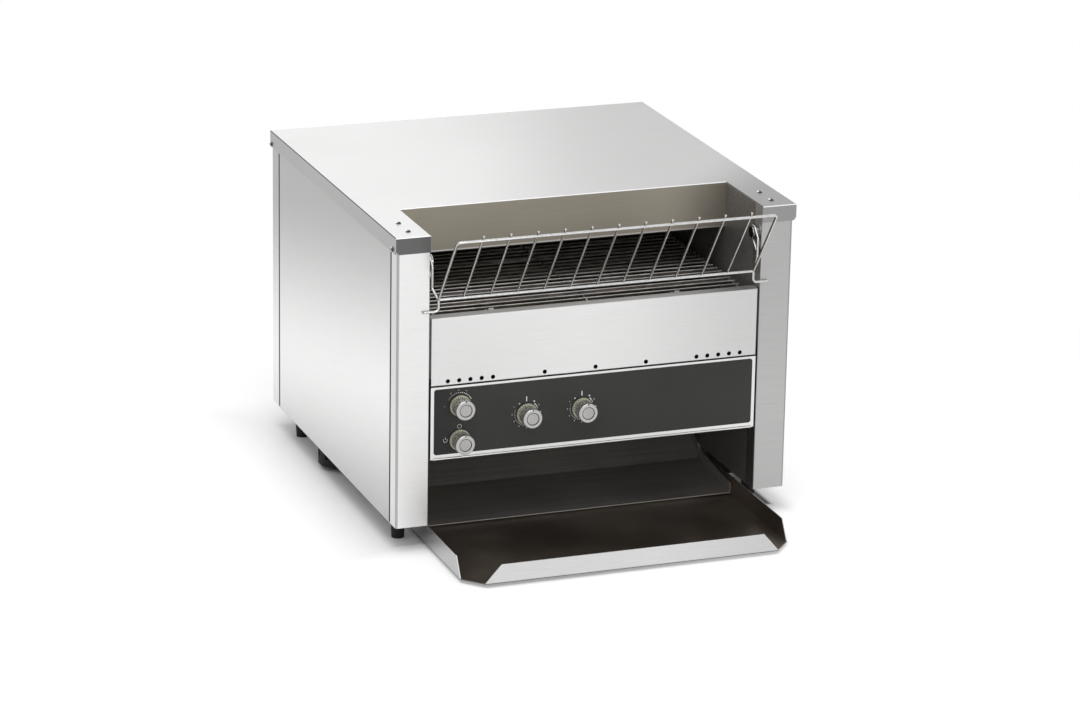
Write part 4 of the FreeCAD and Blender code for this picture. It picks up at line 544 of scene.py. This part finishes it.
def screw_steel():
    """Screw heads: bright plated domes, with painted shade on the rim on the side towards the user."""
    finish = Finish("screw_steel", Metallic=1.0)
    speck = finish.noise((900.0, 900.0, 900.0), 3.0, 0.6)
    # Painted shade on the rim on the side towards the user
    rim = finish.reach(finish.axis(finish.normal(), "Y"), -0.20, -0.50)
    bright = finish.mix(finish.reach(speck, *MIDDLE), grey(0.74), grey(0.84))
    finish.feed("Base Color", finish.mix(rim, bright, grey(0.10)))
    finish.feed("Roughness", finish.reach(speck, *WIDE, 0.24, 0.34))
    finish.bump(speck, 0.000005)
    return finish.data


def fascia_film():
    """Control overlay: dark grey satin film with a fine leathery grain, and painted shade at its left end.
    """
    finish = Finish("fascia_film", Metallic=0.0)
    finish.surface.inputs["Specular IOR Level"].default_value = 0.30
    grain = finish.noise((1400.0, 1400.0, 1400.0), 3.0, 0.6)
    cloud = finish.noise((8.0, 8.0, 8.0), 2.0)
    dark = (0.030, 0.030, 0.029, 1.0)
    light = (0.036, 0.036, 0.034, 1.0)
    film = finish.mix(finish.reach(cloud, *WIDE), dark, light)
    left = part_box("fascia")[0].x
    # Painted shade towards the left end
    shaded = finish.reach(finish.axis(finish.place, "X"), left + 0.05, left)
    finish.feed("Base Color", finish.mix(shaded, film, grey(0.018)))
    finish.feed("Roughness", finish.reach(grain, *WIDE, 0.50, 0.62))
    finish.bump(grain, 0.00002)
    return finish.data


def knob_metal(name, axis, face):
    """Knob: satin ridges with painted highlight, flutes and groove in painted shade, a bright front ring, a
    calm mauve disc.
    """
    finish = Finish(name, Metallic=1.0)
    fine = finish.noise((900.0, 900.0, 900.0), 3.0, 0.6)
    cloud = finish.noise((60.0, 60.0, 60.0), 2.0)
    away = finish.add("ShaderNodeVectorMath", {0: finish.place, 1: (axis.x, 0.0, axis.z)},
                      operation="SUBTRACT")
    flat = finish.add("ShaderNodeVectorMath", {0: away.outputs[0], 1: (1.0, 0.0, 1.0)},
                      operation="MULTIPLY")
    length = finish.add("ShaderNodeVectorMath", {0: flat.outputs[0]}, operation="LENGTH")
    radius = length.outputs["Value"]
    depth = finish.math("SUBTRACT", finish.axis(finish.place, "Y"), face)
    dark_satin = (0.60, 0.59, 0.55, 1.0)
    light_satin = (0.68, 0.67, 0.63, 1.0)
    ridge_painted_highlight = (0.95, 0.94, 0.86, 1.0)
    rim_olive = (0.34, 0.34, 0.27, 1.0)
    flute_painted_shade = (0.075, 0.075, 0.058, 1.0)
    disc_mauve = (0.315, 0.30, 0.325, 1.0)
    satin = finish.mix(finish.reach(cloud, *WIDE), dark_satin, light_satin)
    # Painted highlight on the ridges of the barrel, painted shade in the flutes between them
    fluted = finish.reach(depth, *FLUTE_START)
    flute_shade_mask = finish.reach(radius, KNOB_RADIUS - FLUTE_RISE, KNOB_RADIUS - FLUTE_FALL)
    rim = finish.reach(depth, KNOB_RIM_START - 0.0004, KNOB_RIM_START)
    ridges = finish.mix(rim, finish.mix(fluted, satin, ridge_painted_highlight), rim_olive)
    color = finish.mix(finish.math("MULTIPLY", flute_shade_mask, fluted), ridges, flute_painted_shade)
    front = finish.reach(depth, 0.0009, 0.0003)
    ring = finish.reach(radius, RING_RADIUS - 0.0001, RING_RADIUS + 0.0001)
    color = finish.mix(finish.math("MULTIPLY", front, ring), color, grey(0.47, 0.01))
    disc = finish.reach(radius, DISC_RADIUS + 0.0002, DISC_RADIUS)
    color = finish.mix(finish.math("MULTIPLY", front, disc), color, disc_mauve)
    # Painted shade in the groove round the disc
    groove_shade_mask = finish.math("MULTIPLY", finish.reach(depth, 0.0005, 0.0009),
                         finish.reach(radius, RING_RADIUS + 0.0003, RING_RADIUS))
    color = finish.mix(groove_shade_mask, color, grey(0.08))
    # Painted highlight along the edges
    edge_highlight = finish.math("MULTIPLY", finish.edges(0.0003), 0.35)
    finish.feed("Base Color", finish.mix(edge_highlight, color, grey(0.80)))
    finish.feed("Roughness", finish.reach(fine, *WIDE, 0.30, 0.42))
    finish.bump(fine, 0.000006)
    return finish.data


def thermostat_body():
    """Safety thermostat: pale ceramic."""
    finish = Finish("thermostat_ceramic", Metallic=0.0)
    grain = finish.noise((600.0, 600.0, 600.0), 4.0)
    dark = (0.70, 0.68, 0.62, 1.0)
    light = (0.82, 0.80, 0.75, 1.0)
    finish.feed("Base Color", finish.mix(finish.reach(grain, *MIDDLE), dark, light))
    finish.feed("Roughness", finish.reach(grain, *WIDE, 0.42, 0.58))
    finish.bump(grain, 0.00004)
    return finish.data


def dress(finish, *names):
    """Gives CAD nodes a finish."""
    for name in names:
        slots = nodes[name].material_slots
        if not slots:
            nodes[name].data.materials.append(finish)
        for slot in slots:
            slot.material = finish


# Piece building

def new_piece(name, bm, finish, body):
    """Makes an object of a bmesh, in the row frame, that rides on a CAD body."""
    mesh = bpy.data.meshes.new(name)
    bmesh.ops.recalc_face_normals(bm, faces=bm.faces[:])
    bm.to_mesh(mesh)
    bm.free()
    piece = bpy.data.objects.new(name, mesh)
    bpy.context.scene.collection.objects.link(piece)
    mesh.materials.append(finish)
    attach(piece, body)


def on_panel(centre, x, z):
    """Point on the printed face: x to the right and z up from a shaft's axis."""
    return Vector((centre.x + x, centre.y, centre.z + z))


def add_strip(bm, inner, outer):
    """Thin raised strip between two rows of points, closed all round."""
    lift = Vector((0.0, -PRINT_THICKNESS, 0.0))
    rows = [[bm.verts.new(p) for p in row]
            for row in (inner, outer, [p + lift for p in inner], [p + lift for p in outer])]
    low_in, low_out, top_in, top_out = rows
    last = len(inner) - 1
    for k in range(last):
        bm.faces.new((top_in[k], top_in[k + 1], top_out[k + 1], top_out[k]))
        bm.faces.new((low_in[k], low_out[k], low_out[k + 1], low_in[k + 1]))
        bm.faces.new((low_in[k], low_in[k + 1], top_in[k + 1], top_in[k]))
        bm.faces.new((low_out[k], top_out[k], top_out[k + 1], low_out[k + 1]))
    for k in (0, last):
        bm.faces.new((low_in[k], top_in[k], top_out[k], low_out[k]))


def around(centre, radius, angle):
    """Point on the panel at an angle from twelve o'clock, clockwise as the user sees it."""
    turn = math.radians(angle)
    return on_panel(centre, radius * math.sin(turn), radius * math.cos(turn))


def add_arc(bm, centre, radius, start, end, start_width, end_width, steps=24):
    """Arc that widens from start to end."""
    inner = []
    outer = []
    for k in range(steps + 1):
        share = k / steps
        half = (start_width + (end_width - start_width) * share) / 2
        angle = start + (end - start) * share
        inner.append(around(centre, radius - half, angle))
        outer.append(around(centre, radius + half, angle))
    add_strip(bm, inner, outer)


def add_dot(bm, centre, radius, angle, size):
    """Round dot, as wide as twice its size, at an angle round a centre."""
    spot = around(centre, radius, angle)
    add_arc(bm, spot, size / 2, 0.0, DOT_SWEEP, size, size, DOT_SIDES)


def add_bar(bm, centre, low, high, width):
    """Upright bar over a centre."""
    half = width / 2
    add_strip(bm, [on_panel(centre, -half, low), on_panel(centre, -half, high)],
              [on_panel(centre, half, low), on_panel(centre, half, high)])


def add_digit(bm, text, spot, size):
    """Plain digit, centred on its spot and standing upright on the panel."""
    curve = bpy.data.curves.new("digit", "FONT")
    curve.body = text
    curve.size = size
    curve.align_x = "CENTER"
    curve.align_y = "CENTER"
    curve.extrude = PRINT_THICKNESS / 2
    holder = bpy.data.objects.new("digit", curve)
    mesh = bpy.data.meshes.new_from_object(holder)
    mesh.transform(Matrix.Translation(spot) @ Matrix.Rotation(math.pi / 2, 4, "X"))
    bm.from_mesh(mesh)
    bpy.data.meshes.remove(mesh)
    bpy.data.objects.remove(holder)
    bpy.data.curves.remove(curve)


def shaft_axis(name):
    """Where a shaft's axis meets the fascia's printed face."""
    low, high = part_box(name)
    return Vector(((low.x + high.x) / 2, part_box("fascia")[0].y, (low.z + high.z) / 2))


def heat_dial(bm, centre):
    """Off bar on top, then numbers 1 to 9 the long way round, with a wedge at the high end."""
    add_bar(bm, centre, *HEAT_BAR)
    for number in range(1, HEAT_NUMBERS + 1):
        spot = around(centre, DIGIT_RADIUS, -HEAT_STEP * (number + 1))
        add_digit(bm, str(number), spot, DIGIT_SIZE)
    for radius, angle, size in HEAT_MARKS:
        add_dot(bm, centre, radius, angle, size)
    for k in range(HEAT_DOTS):
        size = DOT_SIZE + HEAT_DOT_GROWTH * k
        add_dot(bm, centre, HEAT_DOT_RADIUS, HEAT_DOT_START - DOT_STEP * k, size)
    add_arc(bm, centre, *HEAT_WEDGE)


def speed_dial(bm, centre):
    """Dots that grow clockwise into a short solid arc, with numbers outside them."""
    for k in range(SPEED_DOTS):
        size = DOT_SIZE + SPEED_DOT_GROWTH * k
        add_dot(bm, centre, SPEED_RADIUS, SPEED_DOT_START + DOT_STEP * k, size)
    add_arc(bm, centre, SPEED_RADIUS, *SPEED_ARC)
    for number, angle in enumerate(SPEED_NUMBER_ANGLES, 1):
        add_digit(bm, str(number), around(centre, SPEED_DIGIT_RADIUS, angle), SPEED_DIGIT_SIZE)


def mode_dial(bm, centre):
    """Plain ring for off above the knob, and the standby symbol at its left."""
    off = on_panel(centre, *OFF_PLACE)
    standby = on_panel(centre, *STANDBY_PLACE)
    for spot, gap in ((off, 0.0), (standby, STANDBY_GAP)):
        add_arc(bm, spot, SYMBOL_RADIUS, gap, 360.0 - gap, SYMBOL_LINE, SYMBOL_LINE, SYMBOL_SIDES)
    add_bar(bm, standby, *STANDBY_BAR, SYMBOL_LINE)


def bezel_bead(name, bottom, height, depth, finish):
    """Half-round bead along the bezel's lower edge, a little shorter than the bezel."""
    low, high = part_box("control_bezel")
    bm = bmesh.new()
    left = low.x + LIP_INSET
    right = high.x - LIP_INSET
    rows = []
    for k in range(LIP_STEPS + 1):
        turn = math.pi * k / LIP_STEPS
        z = low.z + bottom + height / 2 - height / 2 * math.cos(turn)
        y = low.y - depth * math.sin(turn)
        rows.append([bm.verts.new((x, y, z)) for x in (left, right)])
    for below, above in zip(rows, rows[1:]):
        bm.faces.new((below[0], below[1], above[1], above[0]))
    bm.faces.new([row[0] for row in rows])
    bm.faces.new([row[1] for row in reversed(rows)])
    bm.faces.new((rows[0][0], rows[-1][0], rows[-1][1], rows[0][1]))
    new_piece(name, bm, finish, "housing")


# Finishes of the CAD nodes

tray_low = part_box("toast_tray")[0]
baffle_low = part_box("feed_baffle")[0]
front_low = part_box("front_cover")[0]
panel_low, panel_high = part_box("left_side_panel")
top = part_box("top_cover")[1].z

# Painted reflections on the steel: each one darkens a face along a direction, away from a middle place
side_reflection_fade = ((0.0, 0.20, 1.0), 0.0, 0.16, top, 0.60, 0.50)
cover_reflection_fade = ((1.0, -1.0, 0.0), -0.35, 0.18, 0.34, 0.89, 0.64)
front_reflection_fade = ((1.0, 0.0, 0.0), -0.20, 0.0, 0.20, 0.90, 0.82)
left_post_reflection_fade = ((0.0, 0.0, 1.0), 0.0, 0.05, top, 1.0, 0.90)
right_post_reflection_fade = ((0.0, 0.0, 1.0), 0.0, 0.15, top, 0.88, 0.94)
# Ends that get a painted shadow in the seams between the posts and the side panels
panel_seam_shadows = ((panel_low.y, -1), (panel_high.y, 1))
rear_seam_shadow = ((panel_high.y + SEAM_WIDTH, -1),)
front_seam_shadow = ((panel_low.y - SEAM_WIDTH, 1),)
# Painted shade on the cover's skirt: its height, then the levels of the sides, the front's left end and its
# right end
cover_skirt_shade = (top - SKIRT_HEIGHT, 0.42, 0.115, 0.31)

dress(brushed_steel("steel_side", 0.88, "y", reflection_fade=side_reflection_fade, seam_shadows=panel_seam_shadows),
      "left_side_panel", "right_side_panel")
dress(brushed_steel("steel_rear_post", 0.88, "y", reflection_fade=side_reflection_fade, seam_shadows=rear_seam_shadow),
      "left_rear_post", "right_rear_post")
dress(brushed_steel("steel_cover", 0.56, "x", rough=0.40, skirt_shade=cover_skirt_shade, reflection_fade=cover_reflection_fade), "top_cover")
dress(brushed_steel("steel_front", 0.72, "x", vent_shade_height=front_low.z + VENT_HEIGHT, reflection_fade=front_reflection_fade),
      "front_cover")
# The front posts are lit and shaded copies of one steel: painted light on the left post, painted shade on
# the right one
dress(brushed_steel("steel_left_post_lit", 0.76, "x", reflection_fade=left_post_reflection_fade, post_fold_shade=0.42, seam_shadows=front_seam_shadow),
      "left_front_post")
dress(brushed_steel("steel_right_post_shaded", 0.46, "x", contrast=0.07, post_fold_shade=0.30, seam_shadows=front_seam_shadow,
                    reflection_fade=right_post_reflection_fade),
      "right_front_post")
bezel_steel = brushed_steel("steel_bezel", 0.74, "x", rough=0.28)
dress(bezel_steel, "control_bezel")
dress(brushed_steel("steel_back", 0.56, "x", rough=0.38), "rear_panel", "base_pan")
dress(brushed_steel("steel_bracket", 0.46, "y", rough=0.40), "motor_bracket", "tray_rails")
dress(brushed_steel("steel_control_box", 0.12, "x", rough=0.50), "control_box")
dress(chamber_steel("chamber_steel", 0.17, 0.24), "left_chamber_wall", "right_chamber_wall")
dress(chamber_steel("chute_steel", 0.33, 0.40, painted_edge_light=0.10), "toast_chute")
dress(baffle_steel(baffle_low.z + HEM_LOW, baffle_low.z + HEM_HIGH), "feed_baffle")
dress(tray_steel(tray_low.z + TRAY_SHEET, TRAY_HALF_WIDTH, tray_low.y + TRAY_LIP), "toast_tray")
dress(heater_sheath(), "upper_heaters", "lower_heaters")
dress(heat_tinted("upper_tint", 0.52), "upper_reflector")
dress(heat_tinted("lower_tint", 0.46), "lower_reflector")
dress(moulded("fibre_board", (0.62, 0.58, 0.50), 0.92, 380.0, 0.0003, 0.18), "upper_insulation")
dress(belt_wire(), "conveyor_belt")
dress(rack_chrome(0.62, 0.16), "loading_rack", "rack_studs")
dress(screw_steel(), "housing_screws", "foot_screws")
dress(fascia_film(), "fascia")
for control in ("speed", "mode", "top_heat", "bottom_heat"):
    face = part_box(f"{control}_knob")[0].y
    dress(knob_metal(f"{control}_knob_silver", shaft_axis(f"{control}_shaft"), face), f"{control}_knob")
dress(plain_metal("shaft_steel", 0.55, 0.25),
      "speed_shaft", "mode_shaft", "top_heat_shaft", "bottom_heat_shaft", "drive_axle", "idler_axle")
dress(plain_metal("sprocket_steel", 0.34, 0.38, 0.02),
      "drive_sprockets", "idler_sprockets", "driven_sprocket", "motor_pinion")
dress(plain_metal("chain_steel", 0.26, 0.34, 0.03, size=180.0), "drive_chain")
dress(plain_metal("bushing_bronze", 0.5, 0.34, color=(0.52, 0.34, 0.16)), "shaft_bushings")
dress(plain_metal("motor_paint", 0.10, 0.46, metallic=0.2, contrast=0.10), "gearmotor")
dress(moulded("phenolic_black", (0.030, 0.029, 0.028), 0.42),
      "speed_pot", "mode_switch", "top_heat_switch", "bottom_heat_switch")
dress(moulded("fan_plastic", (0.024, 0.024, 0.025), 0.44), "fan_frame", "fan_rotor")
dress(moulded("cowl_plastic", (0.010, 0.010, 0.010), 0.60, level=0.20), "fan_cowl")
dress(moulded("foot_rubber", (0.012, 0.012, 0.012), 0.72, 1100.0, 0.00006, level=0.25),
      "feet", "cord_bushing")
dress(moulded("contactor_plastic", (0.21, 0.20, 0.17), 0.48), "contactor")
dress(moulded("terminal_plastic", (0.50, 0.47, 0.40), 0.50), "terminal_block")
dress(thermostat_body(), "high_limit_thermostat")

# Printed dials

ink = moulded("white_ink", (0.66, 0.66, 0.64), 0.55, 2000.0, 0.000004, 0.06)
marks = bmesh.new()
speed_dial(marks, shaft_axis("speed_shaft"))
mode_dial(marks, shaft_axis("mode_shaft"))
heat_dial(marks, shaft_axis("top_heat_shaft"))
heat_dial(marks, shaft_axis("bottom_heat_shaft"))
new_piece("dial_print", marks, ink, "housing")
bezel_bead("bezel_lip", -LIP_DROP, LIP_HEIGHT, LIP_DEPTH, bezel_steel)
# Dark strip over the lip: a painted shadow line
shadow_strip_finish = moulded("seam_shadow", (0.20, 0.20, 0.19), 0.6)
bezel_bead("bezel_shadow_strip", LIP_HEIGHT - LIP_DROP, SHADOW_STRIP_HEIGHT, PRINT_THICKNESS, shadow_strip_finish)


# Studio

def area_lamp(name, place, target, size, power):
    """White rectangular lamp that shines on a target and isn't seen itself."""
    data = bpy.data.lights.new(name, "AREA")
    data.shape = "RECTANGLE"
    data.size = size[0]
    data.size_y = size[1]
    data.energy = power
    lamp = bpy.data.objects.new(name, data)
    bpy.context.scene.collection.objects.link(lamp)
    lamp.location = place
    lamp.rotation_euler = (Vector(target) - Vector(place)).to_track_quat("-Z", "Y").to_euler()
    lamp.visible_camera = False


def build_world():
    """Even ambient light, and a white background for the camera and for reflections."""
    world = bpy.data.worlds.new("studio")
    bpy.context.scene.world = world
    world.use_nodes = True
    tree = world.node_tree
    background = tree.nodes["Background"]
    background.inputs["Color"].default_value = (1.0, 1.0, 1.0, 1.0)
    path = tree.nodes.new("ShaderNodeLightPath")
    share = path.outputs["Is Camera Ray"]
    for ray in ("Is Glossy Ray", "Is Transmission Ray"):
        joined = tree.nodes.new("ShaderNodeMath")
        joined.operation = "MAXIMUM"
        tree.links.new(share, joined.inputs[0])
        tree.links.new(path.outputs[ray], joined.inputs[1])
        share = joined.outputs[0]
    level = tree.nodes.new("ShaderNodeMapRange")
    level.inputs["To Min"].default_value = AMBIENT
    level.inputs["To Max"].default_value = WHITE
    tree.links.new(share, level.inputs["Value"])
    tree.links.new(level.outputs[0], background.inputs["Strength"])


def floor_mesh():
    """Disc of three rings."""
    bm = bmesh.new()
    hub = bm.verts.new((0.0, 0.0, 0.0))
    inner = None
    for radius in (FLOOR_NEAR, FLOOR_FAR, FLOOR_RADIUS):
        ring = []
        for k in range(FLOOR_SIDES):
            turn = 2 * math.pi * k / FLOOR_SIDES
            ring.append(bm.verts.new((radius * math.cos(turn), radius * math.sin(turn), 0.0)))
        for k in range(FLOOR_SIDES):
            after = (k + 1) % FLOOR_SIDES
            if inner:
                bm.faces.new((inner[k], ring[k], ring[after], inner[after]))
            else:
                bm.faces.new((hub, ring[k], ring[after]))
        inner = ring
    mesh = bpy.data.meshes.new("floor")
    bm.to_mesh(mesh)
    bm.free()
    return mesh


def floor_lift(finish, beyond, right):
    """Light that the shaded floor gets on top: more of it farther from the base, and towards the right."""
    contact = finish.reach(beyond, -CONTACT_IN, CONTACT_OUT, 0.0, CONTACT_LIFT)
    around_base = finish.reach(beyond, 0.0, SHADOW_REACH, 0.0, SHADOW_LIFT)
    x = finish.axis(finish.place, "X")
    return finish.math("MULTIPLY", finish.math("ADD", contact, around_base),
                       finish.reach(x, RIGHT_START, right, 1.0, RIGHT_LIFT))


def build_floor():
    """Pale floor that keeps the shadow near the object, with a painted shadow under the object's right side,
    and runs out into the white background.
    """
    mesh = floor_mesh()
    floor = bpy.data.objects.new("floor", mesh)
    bpy.context.scene.collection.objects.link(floor)
    finish = Finish("floor_paper", Metallic=0.0, Roughness=0.9)
    finish.surface.inputs["Specular IOR Level"].default_value = 0.1
    length = finish.add("ShaderNodeVectorMath", {0: finish.place}, operation="LENGTH")
    far = finish.reach(length.outputs["Value"], FLOOR_NEAR, FLOOR_FAR)
    path = finish.add("ShaderNodeLightPath", {})
    seen = finish.math("MAXIMUM", path.outputs["Is Camera Ray"], path.outputs["Is Glossy Ray"])
    seen = finish.math("MAXIMUM", seen, path.outputs["Is Transmission Ray"])
    low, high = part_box("base_pan")
    x = finish.axis(finish.place, "X")
    y = finish.axis(finish.place, "Y")
    left, right, front, rear = SHADOW_HASTE
    borders = ((x, low.x, -left), (x, high.x, right), (y, low.y, -front), (y, high.y, rear))
    beyond = -1.0
    for source, border, haste in borders:
        outside = finish.math("MULTIPLY", finish.math("SUBTRACT", source, border), haste)
        beyond = finish.math("MAXIMUM", outside, beyond)
    # Painted shadow under the right side
    painted_under_shadow = finish.math("MULTIPLY", finish.reach(beyond, -UNDER_START, -UNDER_END),
                         finish.reach(x, UNDER_RIGHT, high.x))
    finish.feed("Base Color", finish.mix(painted_under_shadow, grey(FLOOR_LEVEL), grey(UNDER_LEVEL)))
    strength = finish.math("MULTIPLY", seen, floor_lift(finish, beyond, high.x))
    lift = finish.add("ShaderNodeEmission", {"Strength": strength})
    near = finish.add("ShaderNodeAddShader", {0: finish.surface.outputs[0], 1: lift.outputs[0]})
    glow = finish.add("ShaderNodeEmission", {"Strength": WHITE})
    joined = finish.add("ShaderNodeMixShader",
                        {0: finish.math("MULTIPLY", far, seen), 1: near.outputs[0], 2: glow.outputs[0]})
    finish.tree.links.new(joined.outputs[0], finish.tree.nodes["Material Output"].inputs["Surface"])
    mesh.materials.append(finish.data)


def build_camera():
    """Camera of the photograph, turned by its yaw, its pitch and a slight roll."""
    flat = math.cos(CAMERA_PITCH)
    forward = Vector((math.sin(CAMERA_YAW) * flat, math.cos(CAMERA_YAW) * flat, math.sin(CAMERA_PITCH)))
    level = Vector((math.cos(CAMERA_YAW), -math.sin(CAMERA_YAW), 0.0))
    upright = level.cross(forward)
    right = level * math.cos(CAMERA_ROLL) + upright * math.sin(CAMERA_ROLL)
    up = upright * math.cos(CAMERA_ROLL) - level * math.sin(CAMERA_ROLL)
    data = bpy.data.cameras.new("camera")
    data.lens = CAMERA_LENS
    data.sensor_width = SENSOR_WIDTH
    data.sensor_fit = "HORIZONTAL"
    data.clip_end = 50.0
    camera = bpy.data.objects.new("camera", data)
    bpy.context.scene.collection.objects.link(camera)
    turned = Matrix((right, up, -forward)).transposed().to_4x4()
    camera.matrix_world = Matrix.Translation(CAMERA_PLACE) @ turned
    bpy.context.scene.camera = camera


bpy.context.scene.view_settings.view_transform = "Standard"
build_world()
build_floor()
build_camera()
area_lamp("key", (-0.6, -0.8, 2.4), (0.0, 0.0, 0.2), (2.0, 2.0), 24.0)
area_lamp("back", (0.05, 2.20, 1.20), (0.0, 0.0, 0.3), (1.5, 1.0), 7.0)
area_lamp("front", (0.05, -2.00, 0.40), (0.0, -0.3, 0.2), (0.9, 0.6), 4.5)
